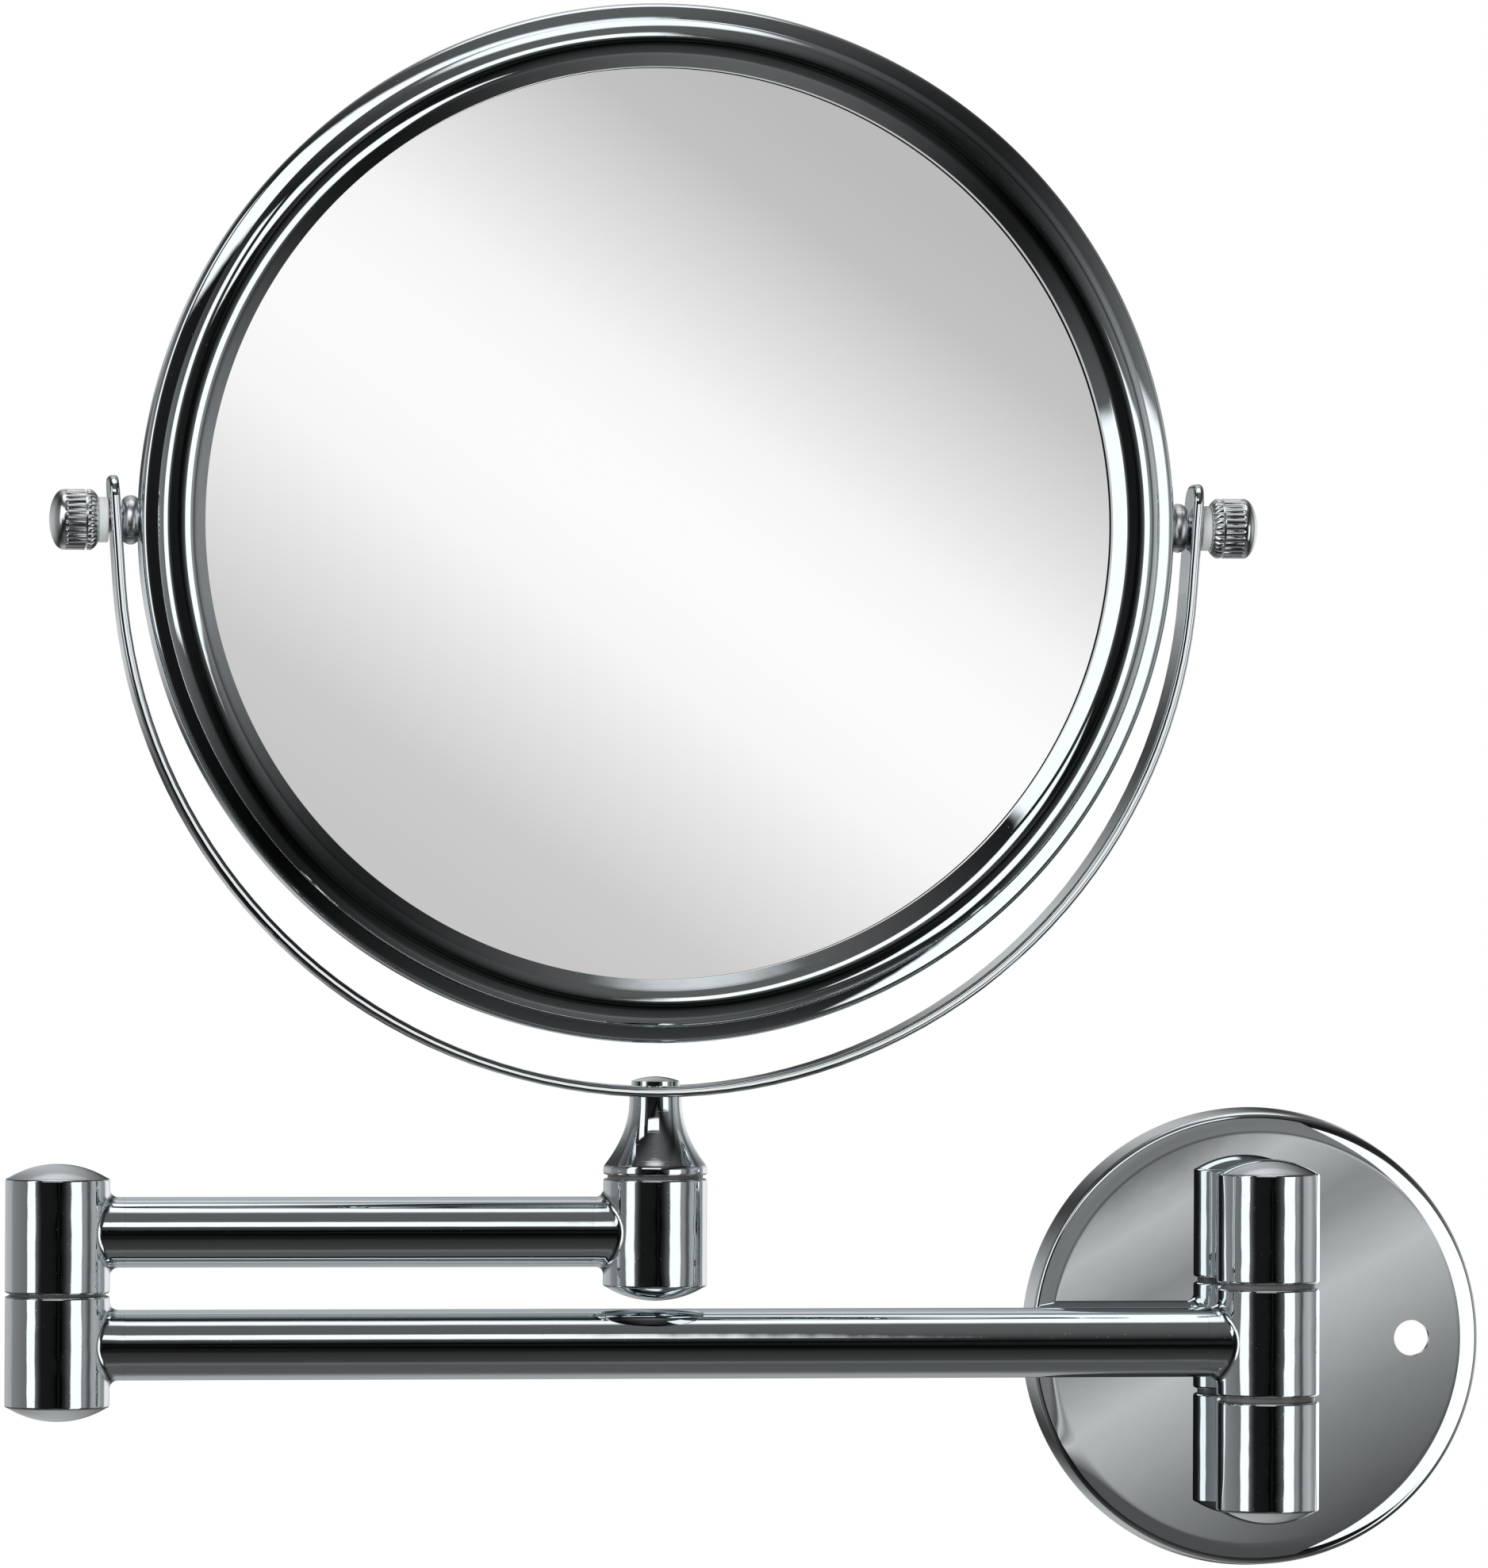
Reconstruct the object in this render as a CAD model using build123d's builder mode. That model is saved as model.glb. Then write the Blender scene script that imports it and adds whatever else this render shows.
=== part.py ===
"""Extendable wall mirror: a round two-sided mirror in a fork, on a double swivel arm.

Millimetres. The origin is the centre of the wall plate's back, on the wall. +Z is up, +X runs along
the wall to the right, and the mirror faces -Y. The arm is folded along the wall to the left.
"""
from build123d import *
import math
import os

# Wall plate: a pressed dish with two screw holes
plate_d = 90.0
plate_face_d = 82.0
plate_depth = 9.0
plate_wall = 1.5
plate_edge_r = 3.0
wall_screw_d = 7.0
wall_screw_spacing = 62.0

# Hinge barrels, tubes and the sockets that join them
barrel_d = 20.0
barrel_edge = 0.5
tube_d = 13.5
tube_wall = 1.5
neck_length = 2.6
neck_fillet = 1.6
spigot_length = 12.0
hinge_standoff = 13.0
post_d = 10.0

# Reach of the two arms, hinge axis to hinge axis
lower_reach = 235.0
upper_reach = 115.0

# Heights above and below the tubes' centre lines
arm_barrel_half = 10.4
wall_groove = 1.1
wall_barrel_h = 21.3
elbow_below = 11.9
elbow_above = 9.5
elbow_groove = 0.5
upper_elbow_below = 11.6
upper_elbow_above = 10.4
stem_barrel_below = 10.6
stem_barrel_above = 10.3
stem_groove = 0.7

# Hinge pins, bushes, friction washers and nuts
pin_d = 8.0
pin_end_d = 6.0
pin_chamfer = 0.6
bush_d = 10.0
bush_flange_d = 18.4
pocket_d = 13.0
pocket_room = 0.3
spring_washer_t = 0.8
spring_washer_rise = 0.4
spring_washer_gap = 0.5
nut_af = 10.0
nut_h = 5.0
thread_over = 0.5

# Domed end caps
dome_d = 19.0
dome_rise = 2.7
cap_spigot_d = 12.6
cap_spigot_h = 3.0

# Screws that hold the wall barrels to the plate
bracket_screw_d = 5.0
bracket_screw_grip = 6.0
bracket_head_d = 9.0
bracket_head_h = 2.6

# Stem, fork and fork screw
stem_flange_h = 1.6
stem_h = 15.0
stem_top_d = 10.0
stem_flare_deg = 38.0
fork_w = 12.0
fork_t = 2.0
fork_straight = 12.8
fork_lean_deg = 4.0
fork_tip = 8.5
fork_tip_r = 4.0
fork_edge_r = 0.8
fork_screw_d = 5.0
fork_screw_grip = 8.0
fork_head_d = 9.3
fork_head_h = 1.8

# Mirror rim, glasses and the ring that carries them
rim_r = 100.0
rim_shoulder = 5.4
rim_edge_r = 1.6
band_w = 2.15
band_outer_deg = 22.0
band_inner_deg = 14.0
bead_r = 4.9
bead_outer_deg = 56.0
bead_inner_deg = 36.0
lip_w = 2.15
rim_wall = 1.2
glass_overlap = 2.25
glass_front = 5.0
glass_t = 2.0
concave_r = 1200.0
carrier_lip = 4.0
carrier_room = 0.15
seam = 0.2

# Tilt pivots: stud, collar, spacer and knurled knob
stud_d = 5.0
stud_root = 6.0
stud_reach = 6.0
collar_d = 9.5
collar_end_d = 7.6
collar_l = 3.6
spacer_d = 8.7
spacer_l = 2.0
knob_d = 11.6
knob_l = 9.2
knob_dome = 2.7
knob_bevel = 1.2
knob_band = 2.0
knob_groove_w = 0.4
knob_groove_depth = 0.5
knob_ridges = 28
knurl_depth = 0.45

# Clearances: running fits on a radius, seats between pieces that stay together, thrust gaps
running = 0.05
seat = 0.02
thrust = 0.05

# Places worked out from the sizes above
hinge_y = -(plate_depth + hinge_standoff)
barrel_r = barrel_d / 2
neck_end = barrel_r + neck_length
elbow_x = -lower_reach
stem_x = elbow_x + upper_reach
wall_barrel_z = arm_barrel_half + wall_groove
wall_barrel_top = wall_barrel_z + wall_barrel_h
post_z = wall_barrel_z + wall_barrel_h / 2
upper_elbow_z = elbow_above + elbow_groove
upper_tube_z = upper_elbow_z + upper_elbow_below
upper_elbow_top = upper_tube_z + upper_elbow_above
stem_barrel_z = upper_tube_z - stem_barrel_below
stem_barrel_top = upper_tube_z + stem_barrel_above
stem_z = stem_barrel_top + stem_groove
stem_top = stem_z + stem_h
fork_lean = math.radians(fork_lean_deg)
fork_inner = rim_r + collar_l
fork_outer = fork_inner + fork_t / math.cos(fork_lean)
fork_bend_r = (fork_outer - fork_straight * math.sin(fork_lean)) / math.cos(fork_lean)
fork_bend_z = fork_bend_r * math.sin(fork_lean) - fork_straight * math.cos(fork_lean)
tilt_z = stem_top + fork_bend_r - fork_bend_z
mirror_centre = (stem_x, hinge_y, tilt_z)
tilt_axis = Axis(mirror_centre, (1, 0, 0))
mirror_axis = Axis(mirror_centre, (0, -1, 0))
bush_flange_t = wall_groove - thrust
washer_stack = thrust + spring_washer_t + spring_washer_rise + thrust
pocket_depth = washer_stack + nut_h + thread_over + pocket_room + cap_spigot_h
nut_corner_d = nut_af / math.cos(math.pi / 6)

os.makedirs("parts", exist_ok=True)


def save(piece, name):
    """Label one piece and write it to its own file."""
    piece.label = name
    export_step(piece, f"parts/{name}.step")


def level(x, z):
    """Horizontal plane on the vertical hinge axis at x, at height z."""
    return Plane((x, hinge_y, z))


def upright(x, z=0.0):
    """Plane through a vertical hinge axis, for profiles drawn as radius and height."""
    return Plane((x, hinge_y, z), x_dir=(1, 0, 0), z_dir=(0, -1, 0))


def hinge_axis(x):
    """Vertical hinge axis at x."""
    return Axis((x, hinge_y, 0), (0, 0, 1))


def across(x, z, side):
    """Plane square to a tube that leaves the axis at x towards +X or -X."""
    return Plane((x, hinge_y, z), x_dir=(0, 1, 0), z_dir=(side, 0, 0))


def dome_middle(base_r, rise):
    """Point halfway along a spherical dome's profile, as radius and height above its base."""
    sphere_r = (base_r**2 + rise**2) / (2 * rise)
    half_angle = math.asin(base_r / sphere_r) / 2
    return sphere_r * math.sin(half_angle), rise - sphere_r * (1 - math.cos(half_angle))


def barrel_rims(builder):
    """The circular outer edges at a barrel's two ends."""
    circles = builder.edges().filter_by(GeomType.CIRCLE)
    return circles.filter_by(lambda edge: math.isclose(edge.radius, barrel_r, abs_tol=1e-4))


def blend_edges(builder):
    """The saddle-shaped edges where a round neck meets a barrel."""
    return builder.edges().filter_by(GeomType.CIRCLE, reverse=True).filter_by(
        GeomType.LINE, reverse=True
    )


def arm_barrel(x, bottom, top, tube_z, side, bore_d):
    """Cast barrel with a flared neck and a spigot for its arm tube.

    Args: the hinge's x, the barrel's bottom and top, the tube's height, which way it leaves, and
    the hinge bore.
    """
    with BuildPart() as barrel:
        with BuildSketch(level(x, bottom)):
            Circle(barrel_r)
        extrude(amount=top - bottom)
        with BuildSketch(across(x, tube_z, side)):
            Circle(tube_d / 2)
        extrude(amount=neck_end)
        fillet(blend_edges(barrel), neck_fillet)
        fillet(barrel_rims(barrel), barrel_edge)
        with BuildSketch(across(x, tube_z, side).offset(neck_end)):
            Circle(tube_d / 2 - tube_wall - seat)
        extrude(amount=spigot_length)
        with BuildSketch(level(x, bottom)):
            Circle(bore_d / 2)
        extrude(amount=top - bottom, mode=Mode.SUBTRACT)
    return barrel.part


def pocketed(piece, x, floor, mouth):
    """Sink a round pocket into a barrel, from its floor to its mouth."""
    with BuildPart() as barrel:
        add(piece)
        with BuildSketch(level(x, floor)):
            Circle(pocket_d / 2)
        extrude(amount=mouth - floor, mode=Mode.SUBTRACT)
    return barrel.part


def wall_barrel(way):
    """Fixed wall barrel with its post to the plate; way is +1 above the arm and -1 below it."""
    bottom = min(way * wall_barrel_z, way * wall_barrel_top)
    with BuildPart() as barrel:
        with BuildSketch(level(0, bottom)):
            Circle(barrel_r)
        extrude(amount=wall_barrel_h)
        with BuildSketch(Plane((0, hinge_y, way * post_z), x_dir=(1, 0, 0), z_dir=(0, 1, 0))):
            Circle(post_d / 2)
        extrude(amount=hinge_standoff)
        fillet(blend_edges(barrel), neck_fillet)
        fillet(barrel_rims(barrel), barrel_edge)
        with BuildSketch(level(0, bottom)):
            Circle(pin_d / 2 + seat)
        extrude(amount=wall_barrel_h, mode=Mode.SUBTRACT)
        with BuildSketch(level(0, way * wall_barrel_top)):
            Circle(cap_spigot_d / 2 + seat)
        extrude(amount=-way * cap_spigot_h, mode=Mode.SUBTRACT)
        with BuildSketch(Plane((0, -plate_depth, way * post_z), x_dir=(1, 0, 0), z_dir=(0, 1, 0))):
            Circle(bracket_screw_d / 2 + seat)
        extrude(amount=-bracket_screw_grip, mode=Mode.SUBTRACT)
    return barrel.part


def domed_cap(x, seat_z, way, spigot_d):
    """Pressed-in end cap: a shallow dome over a spigot, facing up (+1) or down (-1)."""
    spigot_end = -way * (cap_spigot_h - seat)
    middle_r, middle_h = dome_middle(dome_d / 2, dome_rise - seat)
    with BuildPart() as cap:
        with BuildSketch(upright(x, seat_z)):
            with BuildLine():
                Polyline(
                    (0, way * dome_rise),
                    (0, spigot_end),
                    (spigot_d / 2, spigot_end),
                    (spigot_d / 2, way * seat),
                    (dome_d / 2, way * seat),
                )
                ThreePointArc(
                    (dome_d / 2, way * seat),
                    (middle_r, way * (seat + middle_h)),
                    (0, way * dome_rise),
                )
            make_face()
        revolve(axis=hinge_axis(x))
    return cap.part


def flanged_bush(x, flange_z, flange_t, way, length):
    """Nylon top-hat bush: its flange fills a groove and its sleeve lines a barrel (way +1 is up)."""
    with BuildPart() as bush:
        with BuildSketch(level(x, flange_z)):
            Circle(bush_flange_d / 2)
        extrude(amount=-way * flange_t)
        with BuildSketch(level(x, flange_z)):
            Circle(bush_d / 2)
        extrude(amount=way * length)
        with BuildSketch(level(x, flange_z - way * flange_t)):
            Circle(pin_d / 2 + running)
        extrude(amount=way * (length + flange_t), mode=Mode.SUBTRACT)
    return bush.part


def spring_washer(x, floor, way):
    """Dished friction washer that sits in a pocket; way points from the pocket's floor to its mouth."""
    rise = way * spring_washer_rise
    thick = way * spring_washer_t
    inner = pin_end_d / 2 + running
    outer = pocket_d / 2 - spring_washer_gap
    with BuildPart() as washer:
        with BuildSketch(upright(x, floor)):
            with BuildLine():
                Polyline((outer, 0), (outer, thick), (inner, thick + rise), (inner, rise), close=True)
            make_face()
        revolve(axis=hinge_axis(x))
    return washer.part


def lock_nut(x, start, way):
    """Hexagonal lock nut on a pin's threaded end."""
    with BuildPart() as nut:
        with BuildSketch(level(x, start)):
            RegularPolygon(nut_corner_d / 2, 6)
            Circle(pin_end_d / 2 + seat, mode=Mode.SUBTRACT)
        extrude(amount=way * nut_h)
    return nut.part


# Wall plate
with BuildPart() as wall_plate:
    with BuildSketch(Plane((0, 0, 0), x_dir=(1, 0, 0), z_dir=(0, 0, -1))):
        with BuildLine():
            Polyline(
                (0, 0), (plate_d / 2, 0), (plate_face_d / 2, plate_depth), (0, plate_depth), close=True
            )
        make_face()
    revolve(axis=Axis.Y)
    fillet(wall_plate.edges().sort_by(Axis.Y)[0], plate_edge_r)
    offset(amount=-plate_wall, openings=wall_plate.faces().sort_by(Axis.Y)[-1])
    with BuildSketch(Plane((0, -plate_depth, 0), x_dir=(1, 0, 0), z_dir=(0, 1, 0))):
        with GridLocations(wall_screw_spacing, 0, 2, 1):
            Circle(wall_screw_d / 2)
        with GridLocations(0, 2 * post_z, 1, 2):
            Circle(bracket_screw_d / 2 + running)
    extrude(amount=plate_wall, mode=Mode.SUBTRACT)
save(wall_plate.part, "wall_plate")

# Wall barrels with their posts, caps and pin
save(wall_barrel(1), "upper_wall_barrel")
save(wall_barrel(-1), "lower_wall_barrel")
save(domed_cap(0, wall_barrel_top, 1, cap_spigot_d), "wall_hinge_top_cap")
save(domed_cap(0, -wall_barrel_top, -1, cap_spigot_d), "wall_hinge_bottom_cap")

wall_pin_half = wall_barrel_top - cap_spigot_h - thrust
with BuildPart() as wall_hinge_pin:
    with BuildSketch(level(0, -wall_pin_half)):
        Circle(pin_d / 2)
    extrude(amount=2 * wall_pin_half)
    chamfer(wall_hinge_pin.edges().filter_by(GeomType.CIRCLE), pin_chamfer)
save(wall_hinge_pin.part, "wall_hinge_pin")

# Two pan-head screws from behind the plate into the posts
with BuildPart() as bracket_screws:
    with BuildSketch(Plane((0, plate_wall - plate_depth, 0), x_dir=(1, 0, 0), z_dir=(0, 1, 0))):
        with GridLocations(0, 2 * post_z, 1, 2):
            Circle(bracket_head_d / 2)
    extrude(amount=bracket_head_h)
    fillet(bracket_screws.edges().group_by(Axis.Y)[-1], bracket_head_h / 2)
    with BuildSketch(Plane((0, plate_wall - plate_depth, 0), x_dir=(1, 0, 0), z_dir=(0, -1, 0))):
        with GridLocations(0, 2 * post_z, 1, 2):
            Circle(bracket_screw_d / 2)
    extrude(amount=plate_wall + bracket_screw_grip - thrust)
save(bracket_screws.part, "bracket_screws")

# Lower arm
with BuildPart() as lower_arm_tube:
    with BuildSketch(across(elbow_x, 0, 1).offset(neck_end + seat)):
        Circle(tube_d / 2)
        Circle(tube_d / 2 - tube_wall, mode=Mode.SUBTRACT)
    extrude(amount=lower_reach - 2 * (neck_end + seat))
save(lower_arm_tube.part, "lower_arm_tube")

save(
    arm_barrel(0, -arm_barrel_half, arm_barrel_half, 0, -1, bush_d + 2 * seat),
    "lower_arm_wall_barrel",
)
bush_sleeve = arm_barrel_half - thrust
save(flanged_bush(0, arm_barrel_half, bush_flange_t, -1, bush_sleeve), "upper_hinge_bush")
save(flanged_bush(0, -arm_barrel_half, bush_flange_t, 1, bush_sleeve), "lower_hinge_bush")

elbow_pocket_floor = -elbow_below + cap_spigot_h
elbow_barrel = arm_barrel(elbow_x, -elbow_below, elbow_above, 0, 1, pin_d + 2 * seat)
with BuildPart() as lower_arm_elbow_barrel:
    add(elbow_barrel)
    with BuildSketch(level(elbow_x, -elbow_below)):
        Circle(cap_spigot_d / 2 + seat)
    extrude(amount=cap_spigot_h, mode=Mode.SUBTRACT)
save(lower_arm_elbow_barrel.part, "lower_arm_elbow_barrel")
save(domed_cap(elbow_x, -elbow_below, -1, cap_spigot_d), "elbow_bottom_cap")

# Elbow pin: pressed into the lower barrel, with a threaded end in the upper barrel's pocket
elbow_floor = upper_elbow_top - pocket_depth
elbow_nut_z = elbow_floor + washer_stack
with BuildPart() as elbow_pin:
    with BuildSketch(level(elbow_x, elbow_pocket_floor + thrust)):
        Circle(pin_d / 2)
    extrude(amount=elbow_floor - thrust - elbow_pocket_floor)
    with BuildSketch(level(elbow_x, elbow_floor)):
        Circle(pin_end_d / 2)
    extrude(amount=elbow_nut_z + nut_h + thread_over - elbow_floor)
    chamfer(elbow_pin.edges().filter_by(GeomType.CIRCLE).group_by(Axis.Z)[-1], pin_chamfer)
save(elbow_pin.part, "elbow_pin")
save(spring_washer(elbow_x, elbow_floor + thrust, 1), "elbow_spring_washer")
save(lock_nut(elbow_x, elbow_nut_z, 1), "elbow_lock_nut")

# Upper arm
with BuildPart() as upper_arm_tube:
    with BuildSketch(across(elbow_x, upper_tube_z, 1).offset(neck_end + seat)):
        Circle(tube_d / 2)
        Circle(tube_d / 2 - tube_wall, mode=Mode.SUBTRACT)
    extrude(amount=upper_reach - 2 * (neck_end + seat))
save(upper_arm_tube.part, "upper_arm_tube")

upper_elbow = arm_barrel(
    elbow_x, upper_elbow_z, upper_elbow_top, upper_tube_z, 1, bush_d + 2 * seat
)
save(pocketed(upper_elbow, elbow_x, elbow_floor, upper_elbow_top), "upper_arm_elbow_barrel")
save(
    flanged_bush(
        elbow_x, upper_elbow_z, elbow_groove - thrust, 1, elbow_floor - upper_elbow_z - thrust
    ),
    "elbow_bush",
)
save(domed_cap(elbow_x, upper_elbow_top, 1, pocket_d - 2 * seat), "elbow_top_cap")

stem_floor = stem_barrel_z + pocket_depth
stem_barrel = arm_barrel(
    stem_x, stem_barrel_z, stem_barrel_top, upper_tube_z, -1, bush_d + 2 * seat
)
save(pocketed(stem_barrel, stem_x, stem_floor, stem_barrel_z), "stem_barrel")
save(
    flanged_bush(
        stem_x, stem_barrel_top, stem_groove - thrust, -1, stem_barrel_top - stem_floor - thrust
    ),
    "stem_bush",
)
save(domed_cap(stem_x, stem_barrel_z, -1, pocket_d - 2 * seat), "stem_bottom_cap")

# Fork stem: a bell-shaped foot with its spindle through the stem barrel
stem_nut_z = stem_floor - washer_stack
stem_flare = math.radians(stem_flare_deg)
with BuildPart() as fork_stem:
    with BuildSketch(upright(stem_x)):
        with BuildLine():
            Polyline(
                (0, stem_top),
                (0, stem_nut_z - nut_h - thread_over),
                (pin_end_d / 2, stem_nut_z - nut_h - thread_over),
                (pin_end_d / 2, stem_floor),
                (pin_d / 2, stem_floor),
                (pin_d / 2, stem_z),
                (barrel_r, stem_z),
                (barrel_r, stem_z + stem_flange_h),
            )
            Spline(
                (barrel_r, stem_z + stem_flange_h),
                (stem_top_d / 2, stem_top),
                tangents=((-math.sin(stem_flare), math.cos(stem_flare)), (0, 1)),
            )
            Line((stem_top_d / 2, stem_top), (0, stem_top))
        make_face()
    revolve(axis=hinge_axis(stem_x))
    with BuildSketch(level(stem_x, stem_top)):
        Circle(fork_screw_d / 2 + seat)
    extrude(amount=-fork_screw_grip, mode=Mode.SUBTRACT)
save(fork_stem.part, "fork_stem")
save(spring_washer(stem_x, stem_floor - thrust, -1), "stem_spring_washer")
save(lock_nut(stem_x, stem_nut_z, -1), "stem_lock_nut")

# Fork: a flat strip bent to a U whose arms lean outwards, with rounded ends
def fork_line(bend_r):
    """Half of the fork's outline on one face of the strip: where its bend ends, and its arm's top."""
    bend_end = (bend_r * math.cos(fork_lean), fork_bend_z - bend_r * math.sin(fork_lean))
    rise = 2 * fork_tip - bend_end[1]
    return bend_end, (bend_end[0] + rise * math.tan(fork_lean), 2 * fork_tip)


outer_bend, outer_top = fork_line(fork_bend_r)
inner_bend, inner_top = fork_line(fork_bend_r - fork_t)
with BuildPart() as fork:
    with BuildSketch(Plane(mirror_centre, x_dir=(1, 0, 0), z_dir=(0, -1, 0)).offset(-fork_w / 2)):
        with BuildLine():
            Line(outer_top, outer_bend)
            ThreePointArc(outer_bend, (0, fork_bend_z - fork_bend_r), (-outer_bend[0], outer_bend[1]))
            Polyline(
                (-outer_bend[0], outer_bend[1]),
                (-outer_top[0], outer_top[1]),
                (-inner_top[0], inner_top[1]),
                (-inner_bend[0], inner_bend[1]),
            )
            ThreePointArc(
                (-inner_bend[0], inner_bend[1]), (0, fork_bend_z - fork_bend_r + fork_t), inner_bend
            )
            Polyline(inner_bend, inner_top, outer_top)
        make_face()
    extrude(amount=fork_w)
    with BuildSketch(Plane(mirror_centre, x_dir=(0, 1, 0), z_dir=(1, 0, 0))) as strip_outline:
        with Locations((0, fork_tip)):
            Rectangle(fork_w, 2 * tilt_z, align=(Align.CENTER, Align.MAX))
        fillet(strip_outline.vertices().group_by(Axis.Y)[-1], fork_tip_r)
    extrude(amount=2 * fork_outer, both=True, mode=Mode.INTERSECT)
    fillet(fork.edges().filter_by(Axis.X, reverse=True), fork_edge_r)
    with BuildSketch(Plane(mirror_centre, x_dir=(0, 1, 0), z_dir=(1, 0, 0))):
        Circle(stud_d / 2 + running)
    extrude(amount=fork_outer + fork_t, both=True, mode=Mode.SUBTRACT)
    with BuildSketch(level(stem_x, stem_top)):
        Circle(fork_screw_d / 2 + running)
    extrude(amount=2 * fork_t, mode=Mode.SUBTRACT)
save(fork.part, "fork")

# Domed screw through the fork into the stem
head_lift = fork_inner - math.sqrt(fork_inner**2 - (fork_head_d / 2) ** 2)
fork_head_z = stem_top + fork_t + head_lift + seat
head_shoulder_z = fork_head_z + fork_head_h / 2
head_middle_r, head_middle_h = dome_middle(fork_head_d / 2, fork_head_h / 2)
with BuildPart() as fork_screw:
    with BuildSketch(upright(stem_x)):
        with BuildLine():
            Polyline(
                (0, fork_head_z + fork_head_h),
                (0, stem_top - fork_screw_grip + thrust),
                (fork_screw_d / 2, stem_top - fork_screw_grip + thrust),
                (fork_screw_d / 2, fork_head_z),
                (fork_head_d / 2, fork_head_z),
                (fork_head_d / 2, head_shoulder_z),
            )
            ThreePointArc(
                (fork_head_d / 2, head_shoulder_z),
                (head_middle_r, head_shoulder_z + head_middle_h),
                (0, fork_head_z + fork_head_h),
            )
        make_face()
    revolve(axis=hinge_axis(stem_x))
save(fork_screw.part, "fork_screw")

# Mirror rim: two bezels with a sloped outer band, a round bead and a lip, that meet at a seam
def on_arc(centre, radius, degrees):
    """Point of an arc in the rim's section, at an angle from its crest towards the rim's outside."""
    angle = math.radians(degrees)
    return centre[0] + radius * math.sin(angle), centre[1] + radius * math.cos(angle)


edge_centre = (rim_r - rim_edge_r, rim_shoulder)
band_start = on_arc(edge_centre, rim_edge_r, band_outer_deg)
band_r = band_w / (math.sin(math.radians(band_outer_deg)) - math.sin(math.radians(band_inner_deg)))
band_centre = on_arc(band_start, -band_r, band_outer_deg)
valley = on_arc(band_centre, band_r, band_inner_deg)
bead_centre = on_arc(valley, -bead_r, bead_outer_deg)
lip_top = on_arc(bead_centre, bead_r, -bead_inner_deg)
glass_sight_r = lip_top[0] - lip_w
glass_r = glass_sight_r + glass_overlap
lip_end_z = lip_top[1] - lip_w * math.tan(math.radians(bead_inner_deg))
lip_z = glass_front + seat
floor_z = rim_shoulder + rim_edge_r - rim_wall
floor_r = glass_r + seat + floor_z - lip_z
for name, facing in (("front_bezel", -1), ("rear_bezel", 1)):
    with BuildPart() as bezel:
        with BuildSketch(Plane(mirror_centre, x_dir=(1, 0, 0), z_dir=(0, 0, facing))):
            with BuildLine():
                Line((rim_r, seam / 2), (rim_r, rim_shoulder))
                ThreePointArc(
                    (rim_r, rim_shoulder),
                    on_arc(edge_centre, rim_edge_r, (90 + band_outer_deg) / 2),
                    band_start,
                )
                ThreePointArc(
                    band_start,
                    on_arc(band_centre, band_r, (band_outer_deg + band_inner_deg) / 2),
                    valley,
                )
                ThreePointArc(
                    valley,
                    on_arc(bead_centre, bead_r, (bead_outer_deg - bead_inner_deg) / 2),
                    lip_top,
                )
                Polyline(
                    lip_top,
                    (glass_sight_r, lip_end_z),
                    (glass_sight_r, lip_z),
                    (glass_r + seat, lip_z),
                    (floor_r, floor_z),
                    (rim_r - rim_wall, floor_z),
                    (rim_r - rim_wall, seam / 2),
                    (rim_r, seam / 2),
                )
            make_face()
        revolve(axis=mirror_axis)
        with BuildSketch(Plane(mirror_centre, x_dir=(0, 1, 0), z_dir=(1, 0, 0))):
            Circle(stud_d / 2 + running)
        extrude(amount=2 * rim_r, both=True, mode=Mode.SUBTRACT)
    save(bezel.part, name)

# Flat glass in front, concave magnifying glass behind
with BuildPart() as front_mirror_glass:
    with BuildSketch(Plane(mirror_centre, x_dir=(1, 0, 0), z_dir=(0, -1, 0)).offset(glass_front)):
        Circle(glass_r)
    extrude(amount=-glass_t)
save(front_mirror_glass.part, "front_mirror_glass")


def concave_sag(radius):
    """Depth of the magnifying glass's curve at a radius."""
    return concave_r - math.sqrt(concave_r**2 - radius**2)


concave_depth = concave_sag(glass_r)
with BuildPart() as rear_mirror_glass:
    with BuildSketch(Plane(mirror_centre, x_dir=(1, 0, 0), z_dir=(0, 0, 1))):
        with BuildLine():
            ThreePointArc(
                (0, glass_front - concave_depth),
                (glass_r / 2, glass_front - concave_depth + concave_sag(glass_r / 2)),
                (glass_r, glass_front),
            )
            Line((glass_r, glass_front), (glass_r, glass_front - glass_t))
            ThreePointArc(
                (glass_r, glass_front - glass_t),
                (glass_r / 2, glass_front - glass_t - concave_depth + concave_sag(glass_r / 2)),
                (0, glass_front - glass_t - concave_depth),
            )
            Line((0, glass_front - glass_t - concave_depth), (0, glass_front - concave_depth))
        make_face()
    revolve(axis=mirror_axis)
save(rear_mirror_glass.part, "rear_mirror_glass")

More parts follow.
